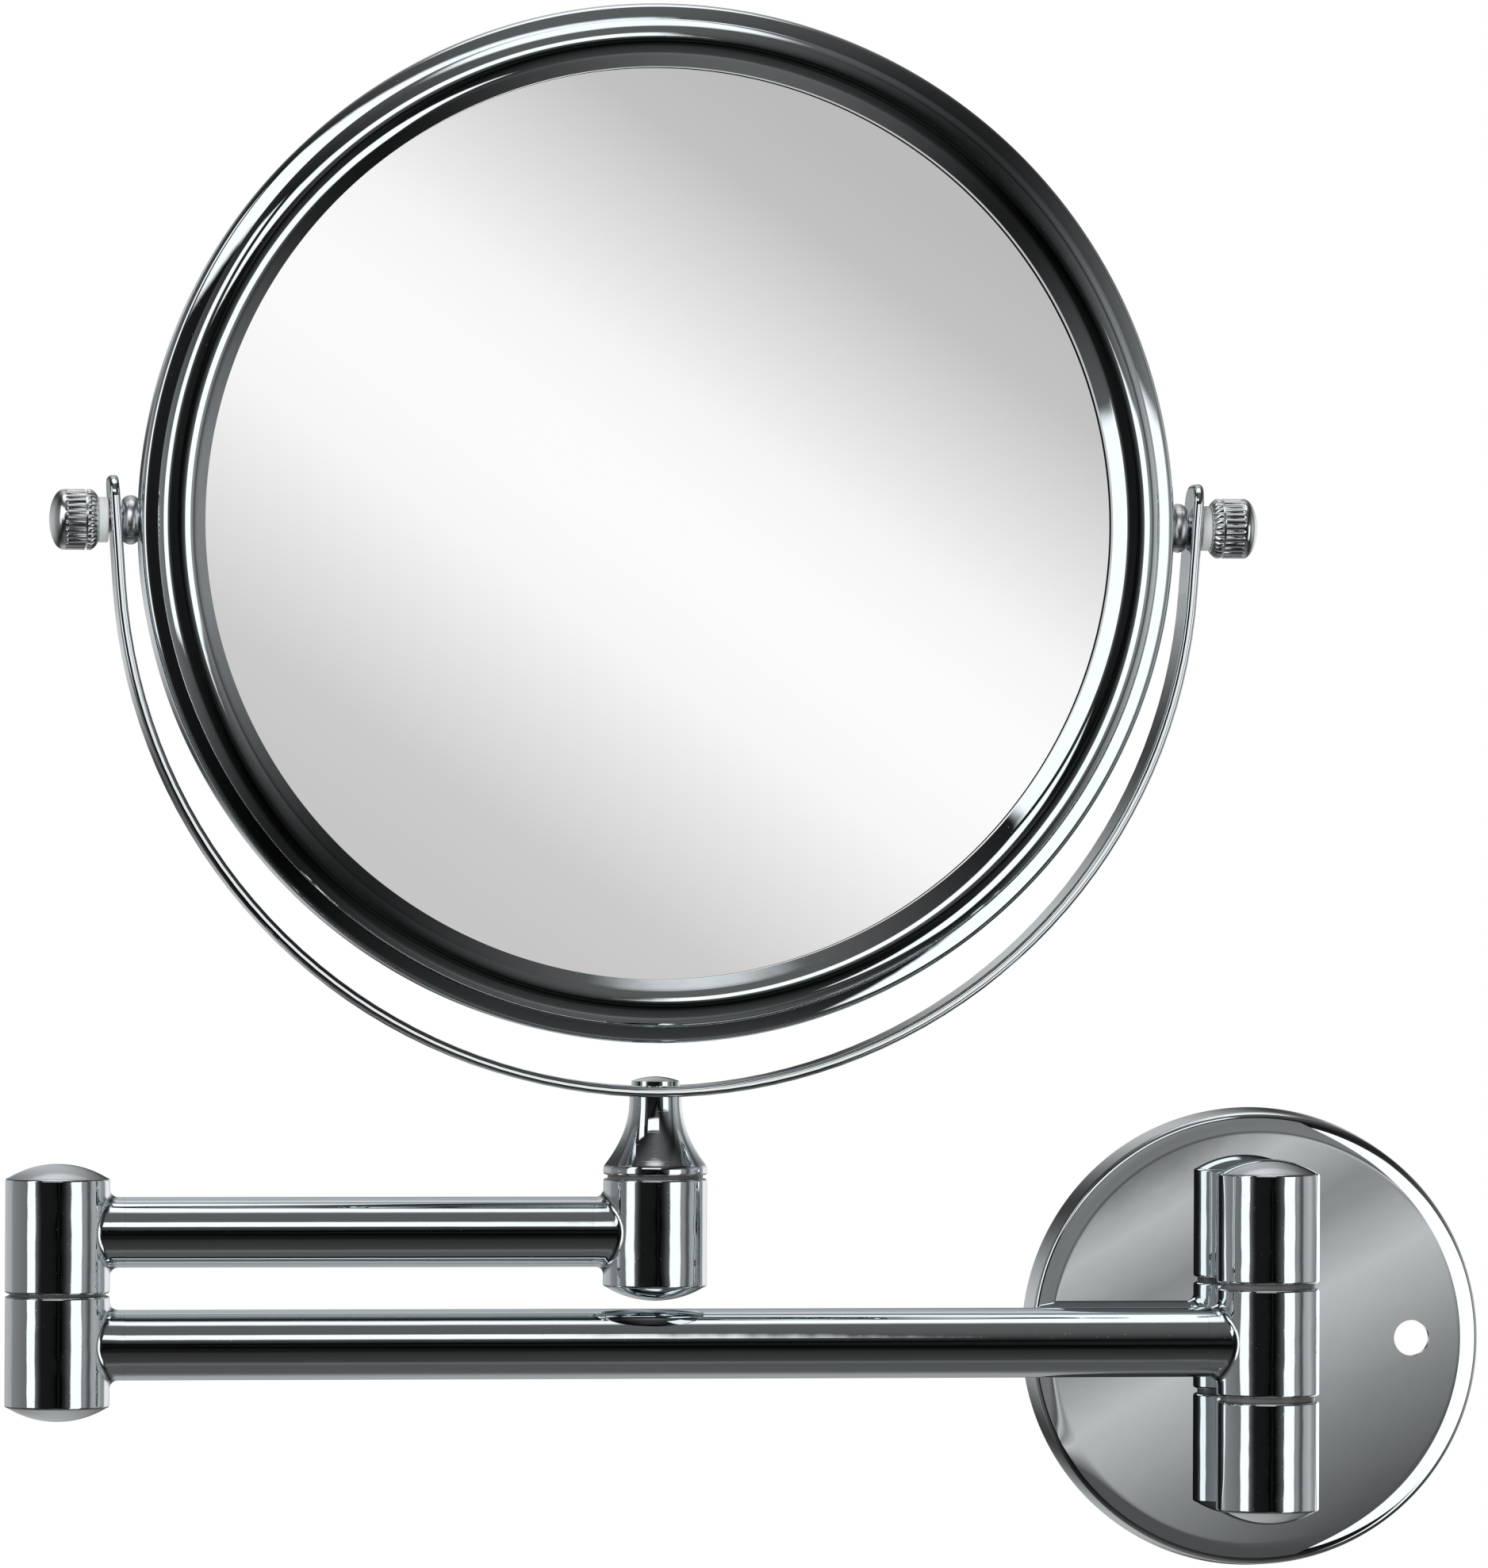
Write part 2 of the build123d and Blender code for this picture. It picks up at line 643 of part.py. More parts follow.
# Ring inside the rim: both glasses rest on its lip and the pivot studs screw into it
carrier_r = rim_r - rim_wall - carrier_room
carrier_half = floor_z - carrier_room
recess_r = glass_r + carrier_room
lip_front = glass_front - glass_t - seat
lip_rear = glass_front - glass_t - concave_depth + concave_sag(glass_r - carrier_lip) - thrust
with BuildPart() as glass_carrier_ring:
    with BuildSketch(Plane(mirror_centre, x_dir=(1, 0, 0), z_dir=(0, 0, -1))):
        with BuildLine():
            Polyline(
                (carrier_r, carrier_half),
                (carrier_r, -carrier_half),
                (floor_r + carrier_room, -carrier_half),
                (recess_r, -glass_front),
                (recess_r, -lip_rear),
                (glass_r - carrier_lip, -lip_rear),
                (glass_r - carrier_lip, lip_front),
                (recess_r, lip_front),
                (recess_r, glass_front),
                (floor_r + carrier_room, carrier_half),
                close=True,
            )
        make_face()
    revolve(axis=mirror_axis)
    with BuildSketch(Plane(mirror_centre, x_dir=(0, 1, 0), z_dir=(1, 0, 0)).offset(rim_r)):
        Circle(stud_d / 2 + seat)
    extrude(amount=-(rim_wall + stud_root), mode=Mode.SUBTRACT)
    with BuildSketch(Plane(mirror_centre, x_dir=(0, 1, 0), z_dir=(-1, 0, 0)).offset(rim_r)):
        Circle(stud_d / 2 + seat)
    extrude(amount=-(rim_wall + stud_root), mode=Mode.SUBTRACT)
save(glass_carrier_ring.part, "glass_carrier_ring")

# Tilt pivots on both sides: stud, collar, spacer and knurled knob
stud_start = rim_r - rim_wall - stud_root + thrust
collar_start = rim_r + seat
collar_end = fork_inner - collar_end_d / 2 * math.tan(fork_lean) - thrust
spacer_start = fork_outer + spacer_d / 2 * math.tan(fork_lean) + thrust
knob_start = spacer_start + spacer_l
groove_x = knob_start + knob_band
dome_x = knob_start + knob_l - knob_dome
for side_name, side in (("left", -1), ("right", 1)):
    pivot = Plane(mirror_centre, x_dir=(0, 1, 0), z_dir=(side, 0, 0))
    outline = Plane(mirror_centre, x_dir=(side, 0, 0), z_dir=(0, -side, 0))

    with BuildPart() as stud:
        with BuildSketch(pivot.offset(stud_start)):
            Circle(stud_d / 2)
        extrude(amount=knob_start + stud_reach - stud_start)
    save(stud.part, f"{side_name}_pivot_stud")

    with BuildPart() as collar:
        with BuildSketch(outline):
            with BuildLine():
                Polyline(
                    (collar_start, collar_end_d / 2),
                    (collar_start, stud_d / 2 + seat),
                    (collar_end, stud_d / 2 + seat),
                    (collar_end, collar_end_d / 2),
                )
                ThreePointArc(
                    (collar_end, collar_end_d / 2),
                    ((collar_start + collar_end) / 2, collar_d / 2),
                    (collar_start, collar_end_d / 2),
                )
            make_face()
        revolve(axis=tilt_axis)
    save(collar.part, f"{side_name}_pivot_collar")

    with BuildPart() as spacer:
        with BuildSketch(pivot.offset(spacer_start)):
            Circle(spacer_d / 2)
            Circle(stud_d / 2 + running, mode=Mode.SUBTRACT)
        extrude(amount=spacer_l - thrust)
    save(spacer.part, f"{side_name}_spacer")

    with BuildPart() as knob:
        with BuildSketch(outline):
            with BuildLine():
                Polyline(
                    (knob_start, 0),
                    (knob_start, knob_d / 2 - knob_bevel),
                    (knob_start + knob_bevel, knob_d / 2),
                    (groove_x, knob_d / 2),
                    (groove_x, knob_d / 2 - knob_groove_depth),
                    (groove_x + knob_groove_w, knob_d / 2 - knob_groove_depth),
                    (groove_x + knob_groove_w, knob_d / 2),
                    (dome_x, knob_d / 2),
                )
                EllipticalCenterArc((dome_x, 0), knob_dome, knob_d / 2, start_angle=0, arc_size=90)
                Line((knob_start + knob_l, 0), (knob_start, 0))
            make_face()
        revolve(axis=tilt_axis)
        with BuildSketch(pivot.offset(knob_start)):
            with PolarLocations(knob_d / 2, knob_ridges):
                RegularPolygon(knurl_depth, 4, rotation=45)
        extrude(amount=knob_l - knob_dome - knob_groove_w, mode=Mode.SUBTRACT)
        with BuildSketch(pivot.offset(knob_start)):
            Circle(stud_d / 2 + running)
        extrude(amount=stud_reach + thrust, mode=Mode.SUBTRACT)
    save(knob.part, f"{side_name}_knob")
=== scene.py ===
"""Looks of the extendable wall mirror: finishes, finer pieces, studio and camera.

Everything is in metres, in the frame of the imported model: the wall plate's back is on the wall at the
origin, +Z is up, +X runs along the wall to the right, and the flat glass faces -Y.
"""
import logging
import math
from dataclasses import dataclass
from enum import Enum
from typing import ClassVar, Sequence

import bmesh
import bpy
from mathutils import Matrix, Vector


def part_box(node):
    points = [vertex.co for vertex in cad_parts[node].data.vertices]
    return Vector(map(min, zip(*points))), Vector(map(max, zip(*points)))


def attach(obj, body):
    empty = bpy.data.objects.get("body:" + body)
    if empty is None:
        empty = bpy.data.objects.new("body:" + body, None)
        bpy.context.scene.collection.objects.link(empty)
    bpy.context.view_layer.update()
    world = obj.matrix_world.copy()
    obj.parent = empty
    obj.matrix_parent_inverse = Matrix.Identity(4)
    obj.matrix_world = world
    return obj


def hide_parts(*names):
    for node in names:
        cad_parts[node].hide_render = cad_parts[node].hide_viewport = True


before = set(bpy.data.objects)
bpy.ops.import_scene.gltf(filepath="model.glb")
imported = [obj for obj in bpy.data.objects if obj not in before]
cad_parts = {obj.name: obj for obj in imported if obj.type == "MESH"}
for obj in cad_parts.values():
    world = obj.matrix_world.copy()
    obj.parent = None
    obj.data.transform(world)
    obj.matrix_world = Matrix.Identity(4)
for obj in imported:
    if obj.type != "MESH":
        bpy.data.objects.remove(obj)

log = logging.getLogger("wall_mirror")

Point = tuple[float, float, float]
Colour = tuple[float, float, float, float]
Stops = Sequence[tuple[float, float]]
Socket = bpy.types.NodeSocket

MM = 0.001
DEGREES = 180.0 / math.pi
SMOOTH_BELOW = math.radians(38)


class Nodes:
    """A node tree with short ways to add and join nodes."""

    def __init__(self, tree: bpy.types.NodeTree) -> None:
        """Keep the tree.

        Args:
            tree: the tree to build in.
        """
        self.tree = tree

    def add(self, kind: str, **settings: object) -> bpy.types.Node:
        """Add one node.

        Args:
            kind: the node's type name.
            settings: properties to set on it.

        Returns:
            The new node.
        """
        node = self.tree.nodes.new(kind)
        for name, value in settings.items():
            setattr(node, name, value)
        return node

    def put(self, value: object, socket: Socket) -> None:
        """Feed a socket from another socket, or set its own value.

        Args:
            value: an output socket, or a number or colour.
            socket: the input to feed.
        """
        if isinstance(value, bpy.types.NodeSocket):
            self.tree.links.new(value, socket)
        else:
            socket.default_value = value

    def maths(self, operation: str, *values: object, clamp: bool = False) -> Socket:
        """A Math node's result.

        Args:
            operation: the operation's name.
            values: its inputs, in order.
            clamp: keep the result between 0 and 1.

        Returns:
            The result socket.
        """
        node = self.add("ShaderNodeMath", operation=operation, use_clamp=clamp)
        for index, value in enumerate(values):
            self.put(value, node.inputs[index])
        return node.outputs[0]

    def spread(self, value: object, low: object, high: object, to_low: object = 0.0,
               to_high: object = 1.0, smooth: bool = True) -> Socket:
        """Map a value from one range to another, clamped.

        Args:
            value: the value to map.
            low: the start of its range.
            high: the end of its range.
            to_low: the result at the start.
            to_high: the result at the end.
            smooth: ease in and out instead of a straight ramp.

        Returns:
            The mapped value.
        """
        kind = "SMOOTHSTEP" if smooth else "LINEAR"
        node = self.add("ShaderNodeMapRange", interpolation_type=kind)
        for index, item in enumerate((value, low, high, to_low, to_high)):
            self.put(item, node.inputs[index])
        return node.outputs[0]

    def ramp(self, value: object, stops: Stops) -> Socket:
        """Read grey levels off a curve of straight stretches.

        Args:
            value: where to read.
            stops: places on the curve, in order, each with its level.

        Returns:
            The level.
        """
        low, high = stops[0][0], stops[-1][0]
        node = self.add("ShaderNodeValToRGB")
        self.put(self.spread(value, low, high, smooth=False), node.inputs[0])
        elements = node.color_ramp.elements
        while len(elements) < len(stops):
            elements.new(0.5)
        for element, (place, _) in zip(elements, stops):
            element.position = (place - low) / (high - low)
        for element, (_, level) in zip(elements, stops):
            element.color = (level, level, level, 1.0)
        return node.outputs[0]

    def window(self, value: object, low: float, high: float, soft: float) -> Socket:
        """One between two limits and nought outside them, with soft edges.

        Args:
            value: the value to test.
            low: the lower limit.
            high: the upper limit.
            soft: the width of each edge.

        Returns:
            The mask.
        """
        rise = self.spread(value, low - soft / 2, low + soft / 2)
        fall = self.spread(value, high - soft / 2, high + soft / 2, 1.0, 0.0)
        return self.maths("MULTIPLY", rise, fall)

    def blend(self, factor: object, first: object, second: object, how: str = "MIX") -> Socket:
        """Mix two colours.

        Args:
            factor: how much of the second.
            first: the first colour.
            second: the second colour.
            how: the blend type.

        Returns:
            The mixed colour.
        """
        node = self.add("ShaderNodeMix", data_type="RGBA", blend_type=how)
        self.put(factor, node.inputs["Factor"])
        self.put(first, node.inputs[6])
        self.put(second, node.inputs[7])
        return node.outputs[2]


class Effects:
    """Shader node groups that several finishes share, each built once."""

    _made: dict[str, bpy.types.ShaderNodeTree] = {}

    @classmethod
    def _group(cls, name: str, inputs: Sequence[tuple[str, str, object]],
               outputs: Sequence[tuple[str, str]]) -> tuple[Nodes, bpy.types.Node, bpy.types.Node]:
        """Start a group with its sockets.

        Args:
            name: the group's name.
            inputs: name, socket type and default of each input.
            outputs: name and socket type of each output.

        Returns:
            The group's nodes, its input node and its output node.
        """
        tree = bpy.data.node_groups.new(name, "ShaderNodeTree")
        for label, kind, default in inputs:
            tree.interface.new_socket(label, in_out="INPUT", socket_type=kind).default_value = default
        for label, kind in outputs:
            tree.interface.new_socket(label, in_out="OUTPUT", socket_type=kind)
        cls._made[name] = tree
        nodes = Nodes(tree)
        return nodes, nodes.add("NodeGroupInput"), nodes.add("NodeGroupOutput")

    @classmethod
    def dust(cls) -> bpy.types.ShaderNodeTree:
        """Fine settled specks, as a mask.

        Returns:
            The node group.
        """
        name = "dust_specks"
        if name in cls._made:
            return cls._made[name]
        nodes, source, target = cls._group(
            name,
            (("Vector", "NodeSocketVector", (0, 0, 0)), ("Scale", "NodeSocketFloat", 2300.0),
             ("Amount", "NodeSocketFloat", 0.5)),
            (("Mask", "NodeSocketFloat"),),
        )
        cells = nodes.add("ShaderNodeTexVoronoi", feature="F1")
        nodes.put(source.outputs["Vector"], cells.inputs["Vector"])
        nodes.put(source.outputs["Scale"], cells.inputs["Scale"])
        shade = nodes.add("ShaderNodeSeparateColor")
        nodes.put(cells.outputs["Color"], shade.inputs[0])
        chosen = nodes.spread(shade.outputs[0], 0.93, 0.97)
        round_speck = nodes.spread(cells.outputs["Distance"], 0.16, 0.30, 1.0, 0.0)
        speck = nodes.maths("MULTIPLY", chosen, round_speck)
        nodes.put(nodes.maths("MULTIPLY", speck, source.outputs["Amount"]), target.inputs["Mask"])
        return cls._made[name]

    @classmethod
    def polish(cls) -> bpy.types.ShaderNodeTree:
        """Buffing haze, hair scratches and a slow wobble of the skin, as a roughness and a height.

        Returns:
            The node group.
        """
        name = "polish_marks"
        if name in cls._made:
            return cls._made[name]
        nodes, source, target = cls._group(
            name,
            (("Vector", "NodeSocketVector", (0, 0, 0)), ("Low", "NodeSocketFloat", 0.02),
             ("High", "NodeSocketFloat", 0.08), ("Scratches", "NodeSocketFloat", 0.3),
             ("Fine", "NodeSocketFloat", 0.02), ("Wobble", "NodeSocketFloat", 0.1)),
            (("Roughness", "NodeSocketFloat"), ("Height", "NodeSocketFloat")),
        )
        wobble = nodes.add("ShaderNodeTexNoise")
        nodes.put(source.outputs["Vector"], wobble.inputs["Vector"])
        wobble.inputs["Scale"].default_value = 130.0
        wobble.inputs["Detail"].default_value = 1.5
        haze = nodes.add("ShaderNodeTexNoise")
        nodes.put(source.outputs["Vector"], haze.inputs["Vector"])
        haze.inputs["Scale"].default_value = 55.0
        haze.inputs["Detail"].default_value = 5.0
        haze.inputs["Roughness"].default_value = 0.62
        stretch = nodes.add("ShaderNodeMapping")
        nodes.put(source.outputs["Vector"], stretch.inputs["Vector"])
        stretch.inputs["Rotation"].default_value = (0.5, 0.3, 0.9)
        stretch.inputs["Scale"].default_value = (160.0, 160.0, 5200.0)
        hairs = nodes.add("ShaderNodeTexNoise")
        nodes.put(stretch.outputs[0], hairs.inputs["Vector"])
        hairs.inputs["Scale"].default_value = 1.0
        hairs.inputs["Detail"].default_value = 2.0
        scratch = nodes.maths("MULTIPLY", nodes.spread(hairs.outputs[0], 0.66, 0.74),
                              source.outputs["Scratches"])
        cloud = nodes.spread(haze.outputs[0], 0.35, 0.75, source.outputs["Low"], source.outputs["High"])
        nodes.put(nodes.maths("ADD", cloud, nodes.maths("MULTIPLY", scratch, 0.12)),
                  target.inputs["Roughness"])
        grain = nodes.maths("SUBTRACT", haze.outputs[0], scratch)
        fine = nodes.maths("MULTIPLY", grain, source.outputs["Fine"])
        slow = nodes.maths("MULTIPLY", wobble.outputs[0], source.outputs["Wobble"])
        nodes.put(nodes.maths("ADD", fine, slow), target.inputs["Height"])
        return cls._made[name]


class Slot(Enum):
    """Material slots of the record."""

    CHROME = "polished_chrome"
    KNURLED = "knurled_chrome"
    STEEL = "steel"
    NYLON = "nylon"
    GLASS = "mirror_glass"
    CARRIER = "carrier_plastic"


@dataclass(frozen=True)
class Finish:
    """A finish for rigid pieces.

    Metals and plastics share one build: a base colour with a little drift, polish marks in the
    roughness, settled dust, and a faint bump.
    """

    name: str
    slot: Slot
    colour: Colour
    metallic: float
    rough_low: float
    rough_high: float
    scratches: float
    dust: float
    bump: float
    wobble: float = 0.0
    drift: float = 0.03
    translucent: float = 0.0
    drift_scale: float = 18.0
    bump_height: float = 0.2 * MM
    dust_colour: Colour = (0.85, 0.86, 0.86, 1.0)
    dust_roughness: float = 0.5

    _made: ClassVar[dict[str, bpy.types.Material]] = {}

    def material(self) -> bpy.types.Material:
        """Build the material.

        Returns:
            The material, made once per finish.
        """
        if self.name in self._made:
            return self._made[self.name]
        material = bpy.data.materials.new(self.name)
        self._made[self.name] = material
        material.use_nodes = True
        nodes = Nodes(material.node_tree)
        shader = material.node_tree.nodes["Principled BSDF"]
        place = nodes.add("ShaderNodeTexCoord").outputs["Object"]
        polish = nodes.add("ShaderNodeGroup", node_tree=Effects.polish())
        nodes.put(place, polish.inputs["Vector"])
        marks = {"Low": self.rough_low, "High": self.rough_high, "Scratches": self.scratches,
                 "Fine": self.bump, "Wobble": self.wobble}
        for label, amount in marks.items():
            polish.inputs[label].default_value = amount
        dust = nodes.add("ShaderNodeGroup", node_tree=Effects.dust())
        nodes.put(place, dust.inputs["Vector"])
        dust.inputs["Amount"].default_value = self.dust
        tone = nodes.add("ShaderNodeTexNoise")
        nodes.put(place, tone.inputs["Vector"])
        tone.inputs["Scale"].default_value = self.drift_scale
        darker = tuple(c * (1.0 - self.drift) for c in self.colour[:3]) + (1.0,)
        base = nodes.blend(tone.outputs[0], self.colour, darker)
        nodes.put(nodes.blend(dust.outputs["Mask"], base, self.dust_colour), shader.inputs["Base Color"])
        rough = nodes.maths("ADD", polish.outputs["Roughness"],
                            nodes.maths("MULTIPLY", dust.outputs["Mask"], self.dust_roughness), clamp=True)
        nodes.put(rough, shader.inputs["Roughness"])
        shader.inputs["Metallic"].default_value = self.metallic
        shader.inputs["Subsurface Weight"].default_value = self.translucent
        shader.inputs["Subsurface Scale"].default_value = 2 * MM
        bump = nodes.add("ShaderNodeBump")
        bump.inputs["Strength"].default_value = 1.0
        bump.inputs["Distance"].default_value = self.bump_height
        nodes.put(polish.outputs["Height"], bump.inputs["Height"])
        nodes.put(bump.outputs[0], shader.inputs["Normal"])
        return material


PLATED: Colour = (0.872, 0.92, 0.94, 1)

CHROME = Finish("bright_chrome", Slot.CHROME, PLATED, metallic=1, rough_low=0.004, rough_high=0.025,
                scratches=0.04, dust=0.4, bump=0.01, wobble=0.12)
CAST = Finish("cast_chrome", Slot.CHROME, PLATED, metallic=1, rough_low=0.006, rough_high=0.05,
              scratches=0.5, dust=0.6, bump=0.02, wobble=0.55)
PRESSED = Finish("pressed_chrome", Slot.CHROME, PLATED, metallic=1, rough_low=0.002, rough_high=0.015,
                 scratches=0.02, dust=0.05, bump=0.002, wobble=0.01)
KNURLED = Finish("knob_chrome", Slot.KNURLED, (0.885, 0.91, 0.92, 1), metallic=1, rough_low=0.14,
                 rough_high=0.24, scratches=0.4, dust=0.3, bump=0.1, wobble=0.3)
SATIN = Finish("satin_chrome", Slot.KNURLED, (0.86, 0.87, 0.88, 1), metallic=1, rough_low=0.26,
               rough_high=0.42, scratches=0.6, dust=0.5, bump=0.5, wobble=0.3)
STEEL = Finish("turned_steel", Slot.STEEL, (0.58, 0.59, 0.60, 1), metallic=1, rough_low=0.20,
               rough_high=0.38, scratches=0.6, dust=0.2, bump=0.2)
NYLON = Finish("milky_nylon", Slot.NYLON, (0.86, 0.87, 0.86, 1), metallic=0, rough_low=0.32,
               rough_high=0.45, scratches=0.1, dust=0.1, bump=0.1, drift=0.04, translucent=0.35)
# Painted shade: the hinge bushes are coloured near black to stand in for the shade in the grooves between
# the barrels; the nylon itself is pale.
BUSH = Finish("greyed_nylon", Slot.NYLON, (0.16, 0.16, 0.16, 1), metallic=0, rough_low=0.30,
              rough_high=0.45, scratches=0.1, dust=0.1, bump=0.1, drift=0.1)
GLASS = Finish("silvered_glass", Slot.GLASS, (0.86, 0.86, 0.858, 1), metallic=1, rough_low=0,
               rough_high=0.004, scratches=0.05, dust=0.03, bump=0, drift=0.005)
CARRIER = Finish("ring_plastic", Slot.CARRIER, (0.20, 0.20, 0.21, 1), metallic=0, rough_low=0.40,
                 rough_high=0.55, scratches=0.2, dust=0.2, bump=0.2)


class Side(Enum):
    """The two ends of the mirror's tilt axis."""

    LEFT = -1.0
    RIGHT = 1.0

    @property
    def label(self) -> str:
        """The side's name in the frame's nodes and bodies."""
        return self.name.lower()


@dataclass(frozen=True)
class Ring:
    """One ring of a turned piece: its place along the axis, its radius and its share of the knurl."""

    along: float
    radius: float
    knurl: float = 0.0

    def at(self, distance: float, degrees: float) -> "Ring":
        """The ring at a distance from this one, at an angle from the axis' direction."""
        angle = math.radians(degrees)
        return Ring(self.along + distance * math.cos(angle), self.radius + distance * math.sin(angle))


def arc(along: float, radius: float, reach: tuple[float, float], turn: tuple[float, float],
        steps: int = 6) -> list[Ring]:
    """Rings on an elliptical arc of a turned profile.

    Args:
        along: the arc's centre, along the axis.
        radius: the arc's centre, out from the axis.
        reach: the ellipse's half sizes, along the axis and out from it.
        turn: the first and last angle in degrees, from the axis' direction.
        steps: how many rings.

    Returns:
        The rings in order.
    """
    rings = []
    for step in range(steps):
        angle = math.radians(turn[0] + (turn[1] - turn[0]) * step / (steps - 1))
        out = radius + reach[1] * math.sin(angle)
        rings.append(Ring(along + reach[0] * math.cos(angle), out if out > 1e-9 else 0.0))
    return rings


@dataclass(frozen=True)
class Lathe:
    """Turns rings about an axis into a closed mesh, with a straight knurl where the rings ask for it."""

    start: Point
    axis: Point
    segments: int = 96
    ridges: int = 0
    ridge_depth: float = 0.0
    ridge_roundness: float = 0.7

    def _cut(self, angle: float) -> float:
        """How deep the knurl is at an angle: narrow grooves between round ridges."""
        if not self.ridges:
            return 0.0
        return 1.0 - abs(math.sin(self.ridges * angle / 2)) ** self.ridge_roundness

    def mesh(self, name: str, rings: Sequence[Ring]) -> bpy.types.Mesh:
        """Turn a profile.

        Args:
            name: the mesh's name.
            rings: the profile's outline, which starts and ends on the axis or closes on itself.

        Returns:
            The closed mesh.
        """
        axis = Vector(self.axis).normalized()
        across = axis.orthogonal().normalized()
        up = axis.cross(across)
        builder = bmesh.new()
        loops = []
        for ring in rings:
            centre = Vector(self.start) + axis * ring.along
            if ring.radius == 0.0:
                loops.append([builder.verts.new(centre)])
                continue
            loop = []
            for index in range(self.segments):
                angle = 2 * math.pi * index / self.segments
                radius = ring.radius - ring.knurl * self.ridge_depth * self._cut(angle)
                spoke = across * math.cos(angle) + up * math.sin(angle)
                loop.append(builder.verts.new(centre + spoke * radius))
            loops.append(loop)
        pairs = list(zip(loops, loops[1:]))
        if len(loops[0]) > 1:
            pairs.append((loops[-1], loops[0]))
        for first, second in pairs:
            for index in range(self.segments):
                after = (index + 1) % self.segments
                corners = [first[index % len(first)], first[after % len(first)],
                           second[after % len(second)], second[index % len(second)]]
                builder.faces.new(list(dict.fromkeys(corners)))
        bmesh.ops.recalc_face_normals(builder, faces=builder.faces)
        mesh = bpy.data.meshes.new(name)
        builder.to_mesh(mesh)
        builder.free()
        mesh.shade_smooth()
        mesh.set_sharp_from_angle(angle=SMOOTH_BELOW)
        return mesh


@dataclass
class SubAssembly:
    """A group of pieces that move as one body."""

    body: ClassVar[str] = ""
    finishes: ClassVar[dict[Finish, tuple[str, ...]]] = {}

    def dress(self) -> None:
        """Give the body's own solids their finishes."""
        for finish, names in self.finishes.items():
            for name in names:
                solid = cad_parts[name]
                solid.data.materials.clear()
                solid.data.materials.append(finish.material())
                log.info("%s: %s", name, finish.name)

    def add(self, name: str, mesh: bpy.types.Mesh, finish: Finish, body: str,
            stands_for: Sequence[str]) -> None:
        """Put a finer piece in place of solids of the frame.

        Args:
            name: the piece's name.
            mesh: its mesh, in place.
            finish: the finish that it takes.
            body: the body that it moves with.
            stands_for: the solids that it replaces.
        """
        piece = bpy.data.objects.new(name, mesh)
        bpy.context.scene.collection.objects.link(piece)
        mesh.materials.append(finish.material())
        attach(piece, body)
        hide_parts(*stands_for)
        log.info("%s: %d faces, %s, rides on %s", name, len(mesh.polygons), finish.name, body)

    @staticmethod
    def cut(mesh: bpy.types.Mesh, cutter: bpy.types.Mesh, crossed: bool = False) -> bpy.types.Mesh:
        """Cut one closed mesh out of another.

        Args:
            mesh: the mesh to cut.
            cutter: what is taken away.
            crossed: whether the cutter's own parts cross each other.

        Returns:
            The cut mesh.
        """
        pair = [bpy.data.objects.new(item.name, item) for item in (mesh, cutter)]
        for item in pair:
            bpy.context.scene.collection.objects.link(item)
        hole = pair[0].modifiers.new("hole", "BOOLEAN")
        hole.operation = "DIFFERENCE"
        hole.solver = "EXACT"
        hole.use_self = crossed
        hole.object = pair[1]
        graph = bpy.context.evaluated_depsgraph_get()
        result = bpy.data.meshes.new_from_object(pair[0].evaluated_get(graph))
        for item in pair:
            bpy.data.objects.remove(item)
        return result

    @staticmethod
    def drill(middle: Point, axis: Point, reach: float, radius: float, segments: int) -> bpy.types.Mesh:
        """The rod that a round hole is cut with.

        Args:
            middle: the rod's middle.
            axis: its direction.
            reach: how far it goes each way.
            radius: the hole's radius.
            segments: how many sides it has.

        Returns:
            The cutter.
        """
        rings = [Ring(-reach, 0.0), Ring(-reach, radius), Ring(reach, radius), Ring(reach, 0.0)]
        return Lathe(middle, axis, segments).mesh("drill", rings)

    @staticmethod
    def soften(node: str, width: float) -> None:
        """Round a solid's sharp edges for the light to catch.

        Args:
            node: the solid's name.
            width: the width of the rounding.
        """
        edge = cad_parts[node].modifiers.new("edge", "BEVEL")
        edge.width = width
        edge.segments = 3
        edge.limit_method = "ANGLE"
        edge.angle_limit = math.radians(40)
        edge.harden_normals = True

    def build(self) -> None:
        """Dress the solids; sub-assemblies with finer pieces add them here."""
        self.dress()


